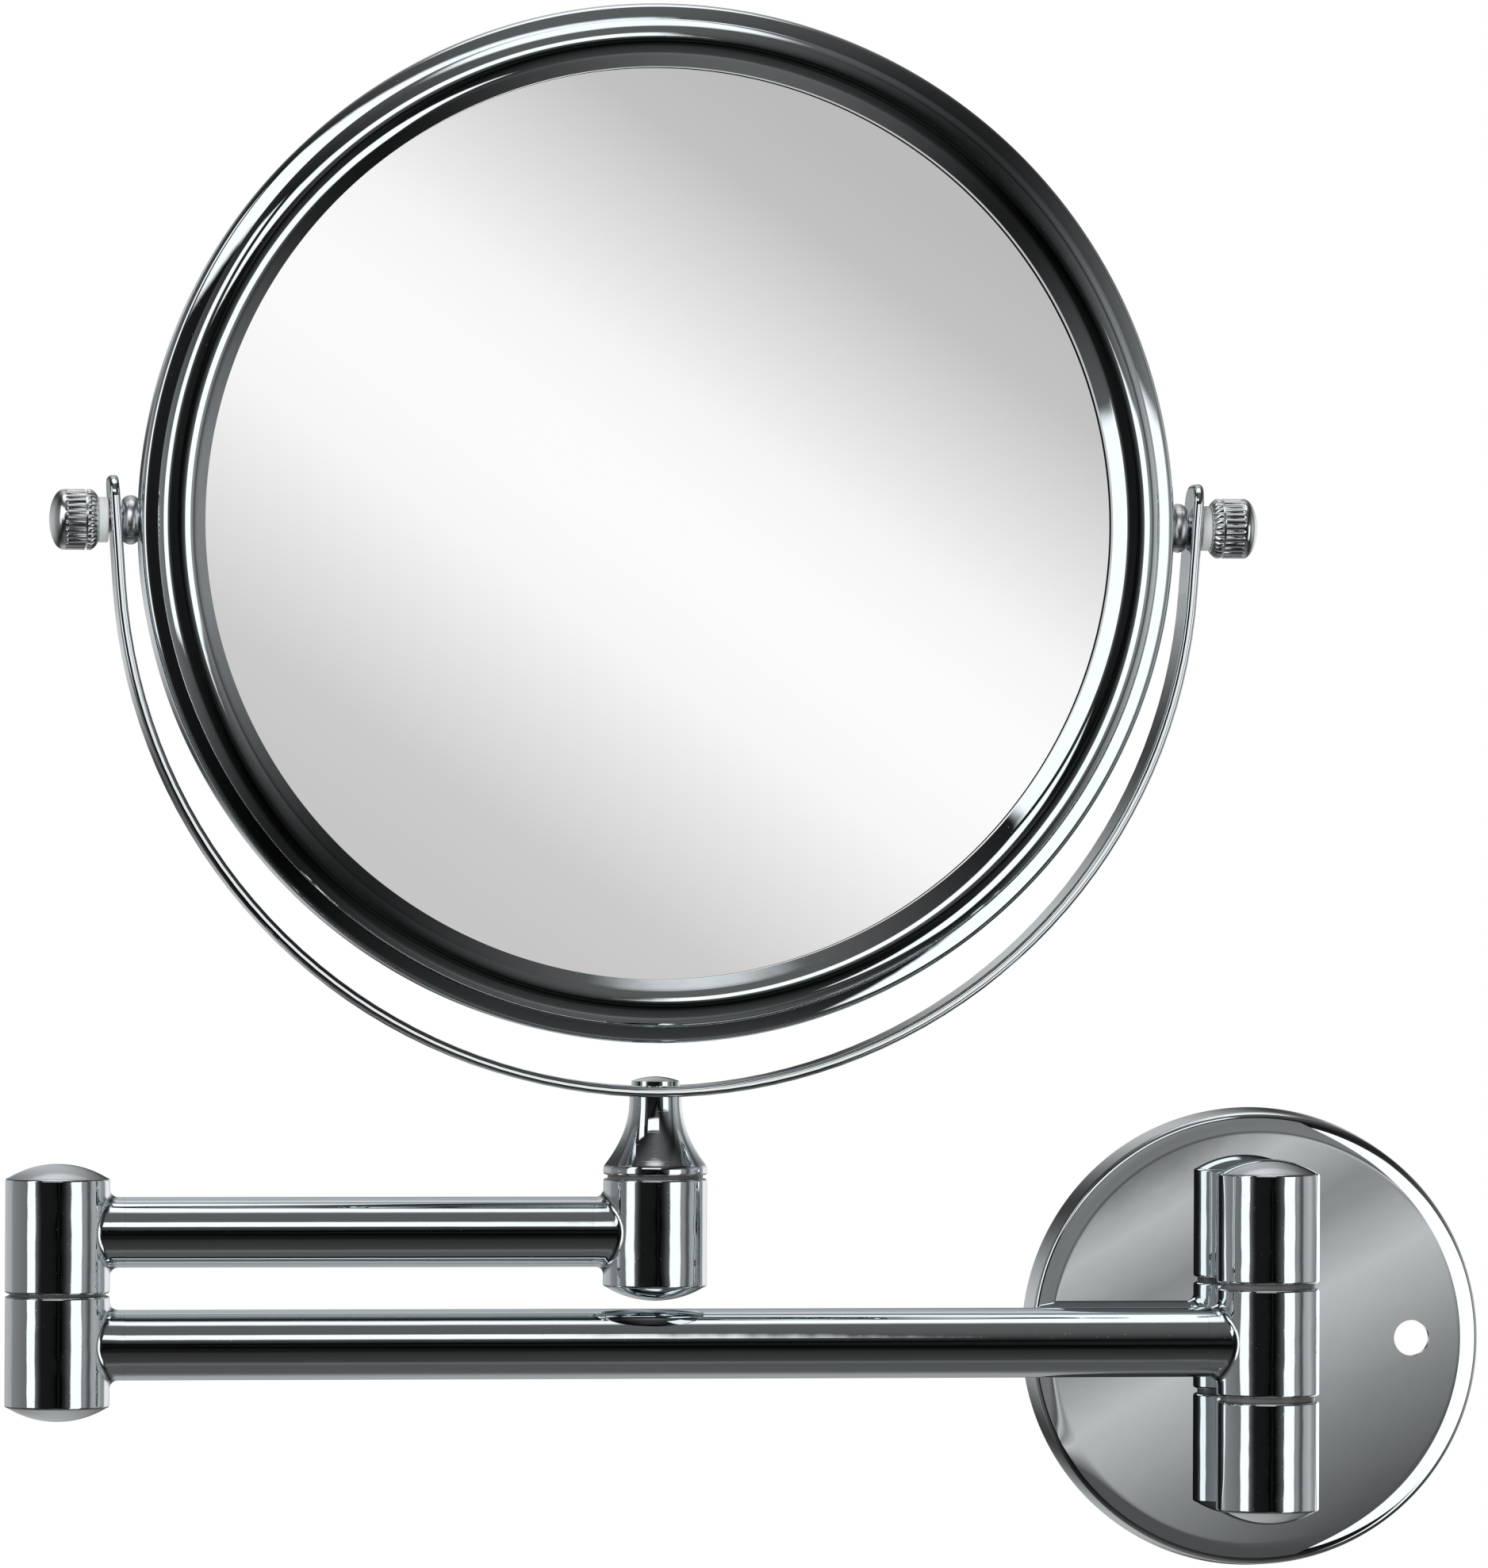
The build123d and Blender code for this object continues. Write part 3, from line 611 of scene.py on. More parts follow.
@dataclass
class WallBracket(SubAssembly):
    """The dish on the wall, its two hinge barrels, and the screws behind it."""

    body: ClassVar[str] = "wall_bracket"
    finishes: ClassVar[dict[Finish, tuple[str, ...]]] = {
        CAST: ("upper_wall_barrel", "lower_wall_barrel"),
        CHROME: ("wall_hinge_top_cap", "wall_hinge_bottom_cap"),
        STEEL: ("wall_hinge_pin",),
    }
    head_radius: float = 4.5 * MM
    head_height: float = 2.6 * MM
    shank_radius: float = 2.5 * MM
    slot_width: float = 1.1 * MM
    slot_reach: float = 2.3 * MM
    slot_depth: float = 1.5 * MM
    plate_wall: float = 1.5 * MM
    shoulder_start: float = 40.3 * MM
    shoulder_radius: float = 19.2 * MM
    shoulder_turn: float = 9.0
    rim_radius: float = 1.2 * MM
    rim_turn: float = 84.0
    wall_hole: float = 3.5 * MM
    wall_spacing: float = 62.0 * MM
    screw_hole: float = 2.55 * MM
    face_margin: float = 0.4 * MM
    least_rim: float = 0.1 * MM
    screw_tip: float = 0.4 * MM
    slot_lead: float = 0.4 * MM
    slot_taper: float = 0.55
    screw_smooth_below: float = math.radians(30)
    plate_segments: int = 240
    hole_segments: int = 96
    screw_segments: int = 64

    def _section(self, depth: float, radius: float, inset: float) -> list[Ring]:
        """The dish's skin from its middle to the wall: flat face, soft shoulder, tight rim and side.

        Args:
            depth: the dish's depth.
            radius: its radius at the wall.
            inset: how far the skin lies inside the outer one.

        Returns:
            The rings, from the middle outwards.
        """
        rings = [Ring(depth - inset, 0.0), Ring(depth - inset, self.shoulder_start - self.face_margin)]
        soft = self.shoulder_radius - inset
        top = depth - self.shoulder_radius
        rings += arc(top, self.shoulder_start, (soft, soft), (0, self.shoulder_turn), 14)
        turn = math.radians(self.shoulder_turn)
        step = self.shoulder_radius - self.rim_radius
        along, out = top + step * math.cos(turn), self.shoulder_start + step * math.sin(turn)
        tight = max(self.rim_radius - inset, self.least_rim)
        rings += arc(along, out, (tight, tight), (self.shoulder_turn, self.rim_turn), 10)[1:]
        rings.append(Ring(0.0, radius - inset))
        return rings

    def plate(self) -> None:
        """Press the dish: turned from its section, with its two wall holes and two screw holes."""
        low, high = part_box("wall_plate")
        depth = high[1] - low[1]
        radius = (high[2] - low[2]) / 2
        skin = self._section(depth, radius, 0.0)
        lining = self._section(depth, radius, self.plate_wall)
        lathe = Lathe((0.0, high[1], 0.0), (0, -1, 0), self.plate_segments)
        mesh = lathe.mesh("pressed_plate", lining + skin[::-1])
        _, screws_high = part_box("bracket_screws")
        drop = screws_high[2] - self.head_radius
        side = self.wall_spacing / 2
        holes = [((-side, 0.0), self.wall_hole), ((side, 0.0), self.wall_hole),
                 ((0.0, -drop), self.screw_hole), ((0.0, drop), self.screw_hole)]
        for (x, z), hole in holes:
            drill = self.drill((x, high[1], z), (0, -1, 0), 2 * depth, hole, self.hole_segments)
            mesh = self.cut(mesh, drill)
        mesh.set_sharp_from_angle(angle=SMOOTH_BELOW)
        self.add("pressed_plate", mesh, PRESSED, self.body, ("wall_plate",))

    def _cross(self, top: Point) -> bpy.types.Mesh:
        """The tapered cross that is cut into a screw head.

        Args:
            top: the middle of the head's top.

        Returns:
            The cutter.
        """
        builder = bmesh.new()
        half = self.slot_width / 2
        for along, wide in ((self.slot_reach, half), (half, self.slot_reach)):
            corners = []
            for depth, scale in ((self.slot_lead, 1.0), (-self.slot_depth, self.slot_taper)):
                for sx, sz in ((-1, -1), (1, -1), (1, 1), (-1, 1)):
                    reach_x = along * scale if along > wide else along
                    reach_z = wide * scale if wide > along else wide
                    place = (top[0] + sx * reach_x, top[1] + depth, top[2] + sz * reach_z)
                    corners.append(builder.verts.new(place))
            builder.faces.new(corners[:4])
            builder.faces.new(corners[4:])
            for index in range(4):
                after = (index + 1) % 4
                builder.faces.new((corners[index], corners[after], corners[4 + after], corners[4 + index]))
        bmesh.ops.recalc_face_normals(builder, faces=builder.faces)
        mesh = bpy.data.meshes.new("screw_cross")
        builder.to_mesh(mesh)
        builder.free()
        return mesh

    def screws(self) -> None:
        """Make the two pan-head screws with their cross recesses, as one piece like their solid."""
        low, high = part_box("bracket_screws")
        top = high[1]
        seat = top - self.head_height
        head = self.head_height
        reach = seat - low[1]
        rings = [Ring(0.0, 0.0), Ring(0.0, self.shank_radius - self.screw_tip),
                 Ring(self.screw_tip, self.shank_radius), Ring(reach, self.shank_radius),
                 Ring(reach, self.head_radius)]
        rings += arc(reach + head / 2, self.head_radius - head / 2, (head / 2, head / 2), (90, 0), 8)
        rings.append(Ring(reach + head, 0.0))
        parts = []
        for height in (low[2] + self.head_radius, high[2] - self.head_radius):
            blank = Lathe((0.0, low[1], height), (0, 1, 0), self.screw_segments).mesh("screw_blank", rings)
            parts.append(self.cut(blank, self._cross((0.0, top, height)), crossed=True))
        builder = bmesh.new()
        for part in parts:
            builder.from_mesh(part)
        mesh = bpy.data.meshes.new("bracket_screw_pair")
        builder.to_mesh(mesh)
        builder.free()
        mesh.shade_smooth()
        mesh.set_sharp_from_angle(angle=self.screw_smooth_below)
        self.add("bracket_screw_pair", mesh, STEEL, self.body, ("bracket_screws",))

    def build(self) -> None:
        """Dress the bracket, press its plate and add the screws."""
        self.dress()
        self.plate()
        self.screws()


@dataclass
class LowerArm(SubAssembly):
    """The long tube between the wall hinge and the elbow."""

    body: ClassVar[str] = "lower_arm"
    finishes: ClassVar[dict[Finish, tuple[str, ...]]] = {
        CAST: ("lower_arm_wall_barrel", "lower_arm_elbow_barrel"),
        CHROME: ("lower_arm_tube", "elbow_bottom_cap"),
        BUSH: ("upper_hinge_bush", "lower_hinge_bush"),
        STEEL: ("elbow_pin", "elbow_spring_washer", "elbow_lock_nut"),
    }


@dataclass
class UpperArm(SubAssembly):
    """The short tube between the elbow and the stem."""

    body: ClassVar[str] = "upper_arm"
    finishes: ClassVar[dict[Finish, tuple[str, ...]]] = {
        CAST: ("upper_arm_elbow_barrel", "stem_barrel"),
        CHROME: ("upper_arm_tube", "elbow_top_cap", "stem_bottom_cap"),
        BUSH: ("elbow_bush", "stem_bush"),
    }


@dataclass
class MirrorFork(SubAssembly):
    """The stem that turns in the upper arm, and the fork on it."""

    body: ClassVar[str] = "mirror_fork"
    finishes: ClassVar[dict[Finish, tuple[str, ...]]] = {
        CHROME: ("fork", "fork_screw"),
        STEEL: ("stem_spring_washer", "stem_lock_nut"),
    }
    edge: float = 0.35 * MM
    stem_rise: float = 15.0 * MM
    stem_top_r: float = 5.0 * MM
    foot_rise: float = 1.6 * MM
    foot_edge: float = 0.45 * MM
    foot_turn: float = 1.5 * MM
    flare: float = 38.0
    flare_pull: float = 1.13
    flare_rings: int = 32
    spindle_r: float = 4.0 * MM
    spindle_end_r: float = 3.0 * MM
    spindle_step: float = 11.5 * MM
    screw_hole_r: float = 2.52 * MM
    screw_hole_depth: float = 8.0 * MM
    stem_segments: int = 192

    def stem(self) -> None:
        """Turn the stem: a spindle, a foot with soft edges and a bell that narrows to the fork."""
        low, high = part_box("fork_stem")
        foot_r = (high[0] - low[0]) / 2
        foot = high[2] - low[2] - self.stem_rise
        top = foot + self.stem_rise
        lean = math.radians(self.flare)
        turn_start = foot + self.foot_rise - self.foot_turn * math.tan(lean / 2)
        edge, turn, step_at = self.foot_edge, self.foot_turn, foot - self.spindle_step
        rings = [Ring(0.0, 0.0), Ring(0.0, self.spindle_end_r), Ring(step_at, self.spindle_end_r),
                 Ring(step_at, self.spindle_r), Ring(foot, self.spindle_r)]
        rings += arc(foot + edge, foot_r - edge, (edge, edge), (180.0, 90.0))
        rings += arc(turn_start, foot_r - turn, (turn, turn), (90.0, 90.0 - self.flare), 9)
        rise, narrowing = self.stem_rise - self.foot_rise, foot_r - self.stem_top_r
        pull = self.flare_pull * math.hypot(rise, narrowing)
        first = self.foot_turn * math.tan(lean / 2) / pull
        for step in range(1, self.flare_rings + 1):
            part = first + (1.0 - first) * step / self.flare_rings
            done = part * part * (3.0 - 2.0 * part)
            leave = part * (1.0 - part) ** 2 * pull
            arrive = part * part * (part - 1.0) * pull
            rings.append(Ring(foot + self.foot_rise + done * rise + leave * math.cos(lean) + arrive,
                              foot_r - done * narrowing - leave * math.sin(lean)))
        rings += [Ring(top, self.screw_hole_r), Ring(top - self.screw_hole_depth, self.screw_hole_r),
                  Ring(top - self.screw_hole_depth, 0.0)]
        centre = ((low[0] + high[0]) / 2, (low[1] + high[1]) / 2, low[2])
        mesh = Lathe(centre, (0, 0, 1), self.stem_segments).mesh("bell_stem", rings)
        self.add("bell_stem", mesh, CAST, self.body, ("fork_stem",))

    def build(self) -> None:
        """Dress the fork, turn its stem and round the edge of its screw."""
        self.dress()
        self.stem()
        self.soften("fork_screw", self.edge)


@dataclass
class MirrorHead(SubAssembly):
    """The rim with its two glasses and the studs that it tilts on."""

    body: ClassVar[str] = "mirror_head"
    finishes: ClassVar[dict[Finish, tuple[str, ...]]] = {
        GLASS: ("front_mirror_glass",),
        CARRIER: ("glass_carrier_ring",),
        STEEL: ("left_pivot_stud", "right_pivot_stud"),
        SATIN: ("left_pivot_collar", "right_pivot_collar"),
    }
    glass_wall: float = 2.0 * MM
    glass_curve: float = 1200.0 * MM
    glass_rings: int = 48
    half_seam: float = 0.1 * MM
    shoulder: float = 5.4 * MM
    edge_r: float = 1.6 * MM
    band_width: float = 2.15 * MM
    band_turn: tuple[float, float] = (22.0, 14.0)
    bead_r: float = 4.9 * MM
    bead_turn: tuple[float, float] = (56.0, -36.0)
    lip_width: float = 2.15 * MM
    lip_floor: float = 5.02 * MM
    glass_lap: float = 2.27 * MM
    wall: float = 1.2 * MM
    stud_hole_r: float = 2.55 * MM
    seam_margin: float = 0.05 * MM
    lip_places: tuple[float, ...] = (0.25, 0.5, 0.75, 0.97, 1.0)
    rim_segments: int = 512
    glass_segments: int = 192
    hole_segments: int = 64

    def _bead(self, rim: float) -> list[Ring]:
        """Draw the section of a bezel, from the seam over the rim to the lip and back inside.

        Args:
            rim: the rim's outer radius.

        Returns:
            The rings, which close on themselves.
        """
        rings = [Ring(self.half_seam, rim), Ring(self.half_seam + self.seam_margin, rim),
                 Ring(self.shoulder / 2, rim), Ring(self.shoulder, rim)]
        edge_turn = (90.0, self.band_turn[0])
        rings += arc(self.shoulder, rim - self.edge_r, (self.edge_r, self.edge_r), edge_turn, 15)[1:]
        outer, inner = (math.radians(angle) for angle in self.band_turn)
        band_r = self.band_width / (math.sin(outer) - math.sin(inner))
        for radius, turn, steps in ((band_r, self.band_turn, 9), (self.bead_r, self.bead_turn, 37)):
            centre = rings[-1].at(-radius, turn[0])
            rings += arc(centre.along, centre.radius, (radius, radius), turn, steps)[1:]
        top = rings[-1]
        slope = math.tan(math.radians(self.bead_turn[1]))
        rings += [Ring(top.along + slope * self.lip_width * part, top.radius - self.lip_width * part)
                  for part in self.lip_places]
        sight = rings[-1].radius
        floor = self.shoulder + self.edge_r - self.wall
        seat = sight + self.glass_lap
        return rings + [Ring(self.lip_floor, sight), Ring(self.lip_floor, seat),
                        Ring(floor, seat + floor - self.lip_floor), Ring(floor, rim - self.wall),
                        Ring(self.half_seam, rim - self.wall)]

    def bezel(self, node: str, facing: int) -> None:
        """Turn one half of the rim, drilled for the pivot studs.

        Args:
            node: the solid that it stands for.
            facing: -1 for the half that faces the room at rest, 1 for the other.
        """
        low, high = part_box(node)
        rim = (high[0] - low[0]) / 2
        seam = (high[1] if facing < 0 else low[1]) - facing * self.half_seam
        centre = ((low[0] + high[0]) / 2, seam, (low[2] + high[2]) / 2)
        name = node.replace("bezel", "beaded_rim")
        half = Lathe(centre, (0, facing, 0), self.rim_segments).mesh(name, self._bead(rim))
        drill = self.drill(centre, (1, 0, 0), 2 * rim, self.stud_hole_r, self.hole_segments)
        self.add(name, self.cut(half, drill), CHROME, self.body, (node,))

    def rear_glass(self) -> None:
        """Grind the magnifying glass: a sheet bent to a shallow bowl that opens to the rear."""
        low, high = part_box("rear_mirror_glass")
        centre = ((low[0] + high[0]) / 2, 0.0, (low[2] + high[2]) / 2)
        reach = (high[2] - low[2]) / 2
        rise = self.glass_curve - math.sqrt(self.glass_curve ** 2 - reach ** 2)
        face, back = [], []
        for step in range(self.glass_rings + 1):
            radius = reach * step / self.glass_rings
            dip = self.glass_curve - math.sqrt(self.glass_curve ** 2 - radius ** 2) - rise
            face.append(Ring(high[1] + dip, radius))
            back.append(Ring(high[1] + dip - self.glass_wall, radius))
        lathe = Lathe(centre, (0, 1, 0), self.glass_segments)
        mesh = lathe.mesh("magnifying_glass", back + face[::-1])
        self.add("magnifying_glass", mesh, GLASS, self.body, ("rear_mirror_glass",))

    def build(self) -> None:
        """Dress the head and add its rim halves and its bowl-shaped glass."""
        self.dress()
        self.bezel("front_bezel", -1)
        self.bezel("rear_bezel", 1)
        self.rear_glass()


@dataclass
class ClampKnob(SubAssembly):
    """A knurled knob on a pivot stud, with the spacer that it presses on the fork."""

    side: Side = Side.LEFT
    ridges: int = 28
    ridge_depth: float = 0.45 * MM
    facets_per_ridge: int = 12
    bevel: float = 1.2 * MM
    band: float = 2.0 * MM
    groove_width: float = 0.4 * MM
    groove_depth: float = 0.5 * MM
    dome: float = 2.7 * MM
    bore: float = 2.55 * MM
    bore_depth: float = 6.05 * MM
    spacer_edge: float = 0.3 * MM
    spacer_segments: int = 96
    bevel_steps: int = 6
    bevel_bulge: float = 0.06
    groove_ease: float = 0.05 * MM
    groove_fade: float = 0.7
    ridge_ends: tuple[tuple[float, float], ...] = (
        (0.75 * MM, 1.0), (0.6 * MM, 0.8), (0.45 * MM, 0.35), (0.3 * MM, 0.0))

    def _span(self, node: str) -> tuple[Point, float, float]:
        """Where a turned solid of this side starts, and its length and radius.

        Args:
            node: the solid's name.

        Returns:
            The middle of its fork-side face, its length and its radius.
        """
        low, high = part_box(node)
        inner = high[0] if self.side is Side.LEFT else low[0]
        start = (inner, (low[1] + high[1]) / 2, (low[2] + high[2]) / 2)
        return start, high[0] - low[0], (high[2] - low[2]) / 2

    def knob(self) -> None:
        """Turn and knurl the knob."""
        node = f"{self.side.label}_knob"
        start, length, radius = self._span(node)
        rings = [Ring(self.bore_depth, 0.0), Ring(self.bore_depth, self.bore), Ring(0.0, self.bore)]
        for step in range(self.bevel_steps + 1):
            share = step / self.bevel_steps
            bulge = self.bevel_bulge * self.bevel * math.sin(math.pi * share)
            rings.append(Ring(self.bevel * share - bulge, radius - self.bevel * (1 - share) + bulge, share))
        foot = radius - self.groove_depth
        ease, fade, far = self.groove_ease, self.groove_fade, self.band + self.groove_width
        rings += [Ring(self.band - ease, radius, 1.0), Ring(self.band, radius - ease, fade),
                  Ring(self.band, foot), Ring(far, foot), Ring(far, radius - ease, fade),
                  Ring(far + ease, radius, 1.0)]
        shoulder = length - self.dome
        rings += [Ring(shoulder - before, radius, share) for before, share in self.ridge_ends]
        rings += arc(shoulder, 0.0, (self.dome, radius), (90, 0), 20)
        segments = self.ridges * self.facets_per_ridge
        lathe = Lathe(start, (self.side.value, 0, 0), segments, self.ridges, self.ridge_depth)
        mesh = lathe.mesh(node + "_turned", rings)
        body = f"{self.side.label}_clamp_knob"
        self.add(f"{self.side.label}_knurled_knob", mesh, KNURLED, body, (node,))

    def spacer(self) -> None:
        """Turn the spacer with its moulded round edges."""
        node = f"{self.side.label}_spacer"
        start, length, radius = self._span(node)
        edge = self.spacer_edge
        rings = [Ring(length, self.bore), Ring(0.0, self.bore)]
        rings += arc(edge, radius - edge, (edge, edge), (180, 90), 6)
        rings += arc(length - edge, radius - edge, (edge, edge), (90, 0), 6)
        lathe = Lathe(start, (self.side.value, 0, 0), self.spacer_segments)
        mesh = lathe.mesh(node + "_turned", rings)
        body = f"{self.side.label}_clamp_spacer"
        self.add(f"{self.side.label}_moulded_spacer", mesh, NYLON, body, (node,))

    def build(self) -> None:
        """Make the knob and its spacer."""
        self.knob()
        self.spacer()


@dataclass(frozen=True)
class Panel:
    """A white panel of the light tent, as a box in azimuth and height, in degrees."""

    left: float
    right: float
    bottom: float
    top: float
    soft: float = 3.0
    level: float = 1.12


@dataclass(frozen=True)
class Card:
    """A shaded white card that a few pieces look at: a lamp that lights those pieces alone.

    The levels run along a slant, in metres from the card's middle or from a line shifted off it.
    """

    name: str
    centre: Point
    size: float
    slant: tuple[float, float]
    levels: Stops
    receivers: tuple[str, ...]
    shift: float = 0.0
    turn: Point = (math.pi / 2, 0.0, 0.0)
    gain: float = 1.0

    def build(self) -> None:
        """Hang the card, by default facing the wall."""
        data = bpy.data.lights.new(self.name, "AREA")
        data.size = self.size
        data.energy = math.pi * self.size ** 2 * self.gain
        data.use_nodes = True
        nodes = Nodes(data.node_tree)
        place = nodes.add("ShaderNodeSeparateXYZ")
        nodes.put(nodes.add("ShaderNodeNewGeometry").outputs["Parametric"], place.inputs[0])
        across, upward = (
            nodes.maths("MULTIPLY", nodes.maths("SUBTRACT", part, 0.5), lean * self.size)
            for part, lean in zip(place.outputs, self.slant))
        along = nodes.maths("ADD", nodes.maths("ADD", across, upward), self.shift)
        nodes.put(nodes.ramp(along, self.levels), data.node_tree.nodes["Emission"].inputs["Color"])
        card = bpy.data.objects.new(self.name, data)
        card.location = self.centre
        card.rotation_euler = self.turn
        card.visible_camera = False
        card.visible_diffuse = False
        bpy.context.scene.collection.objects.link(card)
        lit = bpy.data.collections.new(self.name + "_lights")
        for node in self.receivers:
            lit.objects.link(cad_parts.get(node) or bpy.data.objects[node])
        card.light_linking.receiver_collection = lit


@dataclass
class Studio:
    """Camera, a light tent all round, a soft lamp, cards for single pieces and a pale floor."""

    eye: Point = (-0.3281, -1.8088, 0.0968)
    yaw: float = 0.1253
    pitch: float = 0.0062
    roll: float = 0.0038
    lens: float = 214.17
    floor_centre: Point = (-0.12, -0.6, -0.5)
    floor_size: float = 5.0
    floor_glow: float = 0.3
    floor_roughness: float = 0.8
    floor_grain: float = 40.0
    floor_tones: tuple[Colour, Colour] = ((0.93, 0.93, 0.93, 1), (0.90, 0.90, 0.90, 1))
    lamp_power: float = 22.0
    lamp_size: float = 1.2
    lamp_place: Point = (-0.9, -1.4, 1.3)
    lamp_aim: Point = (0.78, 1.38, -1.15)
    tent_tint: Colour = (0.985, 1.0, 1.01, 1.0)
    corner_shade: float = 0.9
    level_across: Stops = (
        (-180, .62), (-150, .50), (-128, .42), (-118, .24), (-80, .17), (-50, .12), (-44, .03),
        (-38, .010), (8, .010), (14, .03), (24, .10), (60, .30), (69, .09), (73, .09), (78, .35),
        (98, .50), (112, .28), (122, .28), (128, .90), (150, .90), (180, .40))
    level_upright: Stops = (
        (-180, .50), (-150, .42), (-122, .36), (-110, .15), (-100, .10), (-70, .10), (-62, .15),
        (-55, .05), (-25, .03), (-20, .010), (5, .010), (10, .05), (17, .09), (38, .12), (65, .12),
        (100, .2), (115, .2), (118, .7), (126, .7), (132, .45), (180, .55))
    panels: tuple[Panel, ...] = (
        Panel(27, 52, -40, 10), Panel(-73, -53, -12, 40), Panel(-38, 8, 20, 35),
        Panel(-200, 200, 70, 100, soft=8.0))
    cards: tuple[Card, ...] = (
        Card("glass_card", (0.2254, -3.0, 0.2598), 6.0, (0.568, 0.823),
             ((-0.6, .57), (-0.216, .57), (-0.17, .61), (-0.116, .77), (-0.062, .935), (-0.017, .98),
              (0.017, .98), (0.062, .925), (0.116, .735), (0.17, .545), (0.216, .50), (0.6, .50)),
             ("front_mirror_glass", "magnifying_glass"), gain=1.14),
        Card("plate_card", (-0.222, -3.0, -0.1635), 2.0, (0.5, -0.866),
             ((-1.8, .16), (-0.2, .16), (-0.113, .07), (-0.085, .45), (-0.046, .20), (-0.006, .46),
              (0.05, .21), (0.104, .07), (1.0, .05)),
             ("pressed_plate",), shift=-0.3836, gain=1.17),
        Card("plate_side_card", (1.589, -3.0, -0.16), 1.62, (1.0, 0.0), ((-0.81, 1.1), (0.81, 1.1)),
             ("pressed_plate",)),
        Card("fork_card", (0.23, -3.0, 0.125), 0.9, (1.0, 0.0), ((-0.45, 0.9), (0.45, 0.9)),
             ("fork",)),
        Card("pivot_card", (-0.75, -0.9, 0.55), 0.9, (0.0, 1.0), ((-0.45, 1.0), (0.45, 1.0)),
             ("left_pivot_collar", "right_pivot_collar", "left_knurled_knob", "right_knurled_knob"),
             turn=(math.radians(64), 0.0, math.radians(-36))))

    def camera(self) -> None:
        """Put the camera at the photograph's viewing angle."""
        data = bpy.data.cameras.new("studio_camera")
        data.lens = self.lens
        data.sensor_width = 36.0
        data.clip_end = 100.0
        camera = bpy.data.objects.new("studio_camera", data)
        bpy.context.scene.collection.objects.link(camera)
        ahead = Vector((math.sin(self.yaw) * math.cos(self.pitch),
                        math.cos(self.yaw) * math.cos(self.pitch), math.sin(self.pitch)))
        turn = ahead.to_track_quat("-Z", "Y").to_matrix().to_4x4()
        camera.matrix_world = Matrix.Translation(self.eye) @ turn @ Matrix.Rotation(self.roll, 4, "Z")
        bpy.context.scene.camera = camera

    def floor(self) -> None:
        """Lay a pale floor under the part; the chrome reflects the light tent and not the floor."""
        mesh = bpy.data.meshes.new("studio_floor")
        builder = bmesh.new()
        bmesh.ops.create_grid(builder, x_segments=8, y_segments=8, size=self.floor_size)
        builder.to_mesh(mesh)
        builder.free()
        floor = bpy.data.objects.new("studio_floor", mesh)
        floor.location = self.floor_centre
        bpy.context.scene.collection.objects.link(floor)
        floor.visible_glossy = False
        material = bpy.data.materials.new("studio_floor")
        material.use_nodes = True
        nodes = Nodes(material.node_tree)
        shader = material.node_tree.nodes["Principled BSDF"]
        grain = nodes.add("ShaderNodeTexNoise")
        grain.inputs["Scale"].default_value = self.floor_grain
        nodes.put(nodes.blend(grain.outputs[0], *self.floor_tones), shader.inputs["Base Color"])
        shader.inputs["Roughness"].default_value = self.floor_roughness
        shader.inputs["Emission Color"].default_value = (1.0, 1.0, 1.0, 1.0)
        shader.inputs["Emission Strength"].default_value = self.floor_glow
        mesh.materials.append(material)

    def lamp(self) -> None:
        """A broad soft lamp for the matt pieces; the chrome sees the tent alone."""
        data = bpy.data.lights.new("soft_lamp", "AREA")
        data.energy = self.lamp_power
        data.size = self.lamp_size
        lamp = bpy.data.objects.new("soft_lamp", data)
        lamp.location = self.lamp_place
        lamp.rotation_euler = Vector(self.lamp_aim).to_track_quat("-Z", "Y").to_euler()
        lamp.visible_glossy = False
        bpy.context.scene.collection.objects.link(lamp)

    def _base(self, nodes: Nodes, x: Socket, y: Socket, z: Socket) -> Socket:
        """The tent's cloth: one curve of levels across, one up and down, and darker corners between.

        Args:
            nodes: the world's nodes.
            x: the direction's part along the wall.
            y: the direction's part into the wall.
            z: the direction's part upwards.

        Returns:
            The level.
        """
        away = nodes.maths("ARCCOSINE", nodes.maths("MULTIPLY", y, -1.0))
        away = nodes.maths("MULTIPLY", away, DEGREES)
        flat = nodes.maths("MULTIPLY", x, x)
        steep = nodes.maths("MULTIPLY", z, z)
        whole = nodes.maths("MAXIMUM", nodes.maths("ADD", flat, steep), 1e-6)
        across = nodes.ramp(nodes.maths("MULTIPLY", away, nodes.maths("SIGN", x)), self.level_across)
        upright = nodes.ramp(nodes.maths("MULTIPLY", away, nodes.maths("SIGN", z)), self.level_upright)
        share = nodes.maths("DIVIDE", steep, whole)
        corner = nodes.maths("MULTIPLY", share, nodes.maths("SUBTRACT", 1.0, share))
        shade = nodes.maths("SUBTRACT", 1.0, nodes.maths("MULTIPLY", corner, 4.0 * self.corner_shade))
        return nodes.blend(1.0, nodes.blend(share, across, upright), shade, "MULTIPLY")

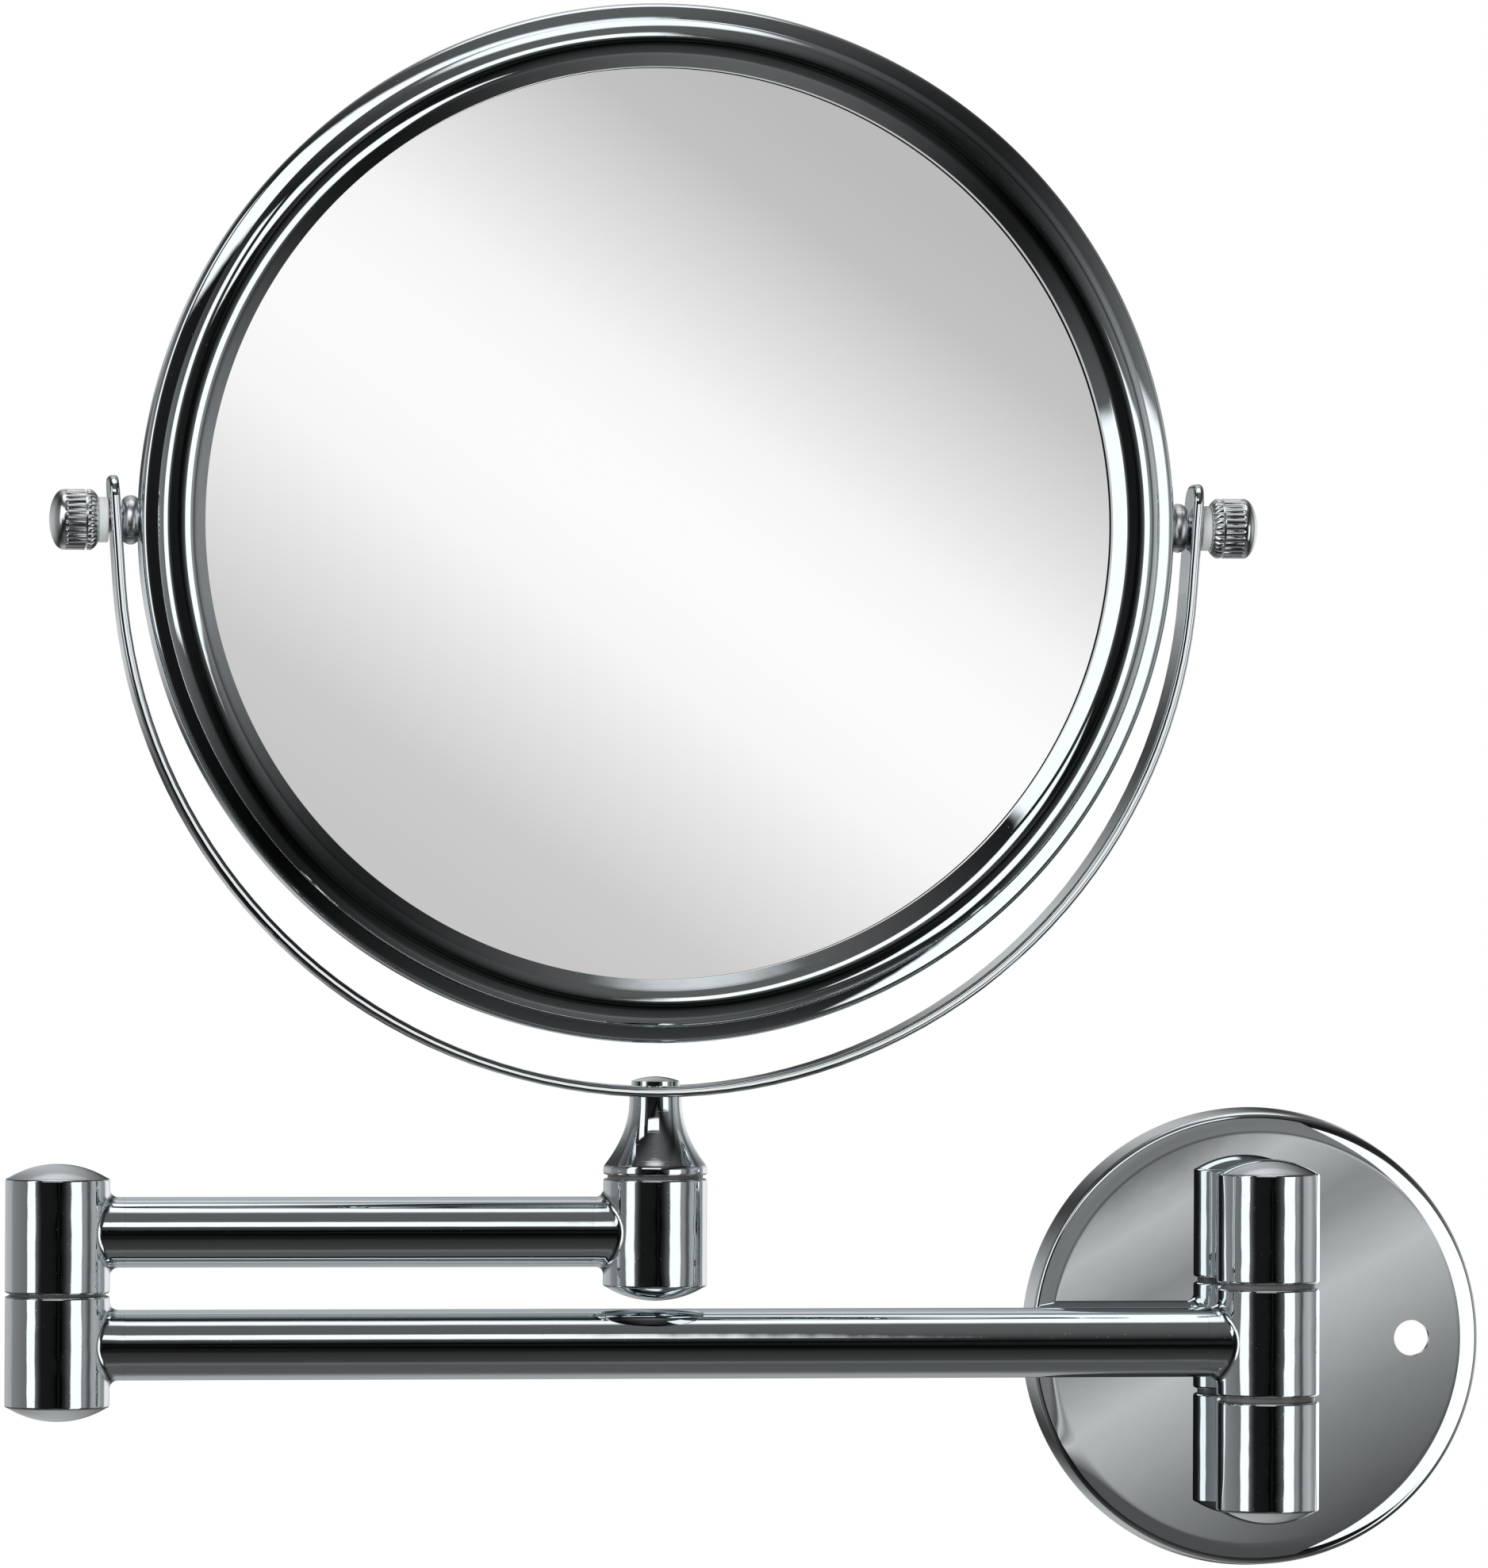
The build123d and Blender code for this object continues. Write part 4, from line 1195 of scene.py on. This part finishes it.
    def world(self) -> None:
        """A light tent: white panels with dark gaps, and plain white behind the part for the camera."""
        world = bpy.data.worlds.new("light_tent")
        bpy.context.scene.world = world
        world.use_nodes = True
        nodes = Nodes(world.node_tree)
        background = world.node_tree.nodes["Background"]
        out = world.node_tree.nodes["World Output"]
        way = nodes.add("ShaderNodeSeparateXYZ")
        nodes.put(nodes.add("ShaderNodeTexCoord").outputs["Generated"], way.inputs[0])
        x, y, z = way.outputs
        azimuth = nodes.maths("ARCTAN2", x, nodes.maths("MULTIPLY", y, -1.0))
        azimuth = nodes.maths("MULTIPLY", azimuth, DEGREES)
        height = nodes.maths("MULTIPLY", nodes.maths("ARCSINE", z), DEGREES)
        level = self._base(nodes, x, y, z)
        for panel in self.panels:
            mask = nodes.maths("MULTIPLY", nodes.window(azimuth, panel.left, panel.right, panel.soft),
                               nodes.window(height, panel.bottom, panel.top, panel.soft))
            level = nodes.blend(mask, level, (panel.level, panel.level, panel.level, 1.0))
        nodes.put(nodes.blend(1.0, level, self.tent_tint, "MULTIPLY"), background.inputs["Color"])
        sight = nodes.add("ShaderNodeBackground")
        sight.inputs["Color"].default_value = (1, 1, 1, 1)
        ray = nodes.add("ShaderNodeLightPath")
        mix = nodes.add("ShaderNodeMixShader")
        nodes.put(ray.outputs["Is Camera Ray"], mix.inputs[0])
        nodes.put(background.outputs[0], mix.inputs[1])
        nodes.put(sight.outputs[0], mix.inputs[2])
        nodes.put(mix.outputs[0], out.inputs["Surface"])

    def build(self) -> None:
        """Set up the studio."""
        bpy.context.scene.view_settings.view_transform = "Standard"
        self.camera()
        self.floor()
        self.lamp()
        for card in self.cards:
            card.build()
        self.world()


def main() -> None:
    """Build the sub-assemblies in order and set up the studio."""
    logging.basicConfig(level=logging.INFO, format="%(name)s: %(message)s")
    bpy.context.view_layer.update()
    parts = (WallBracket(), LowerArm(), UpperArm(), MirrorFork(), MirrorHead(),
             ClampKnob(side=Side.LEFT), ClampKnob(side=Side.RIGHT))
    for part in parts:
        part.build()
    Studio().build()


if __name__ == "__main__":
    main()
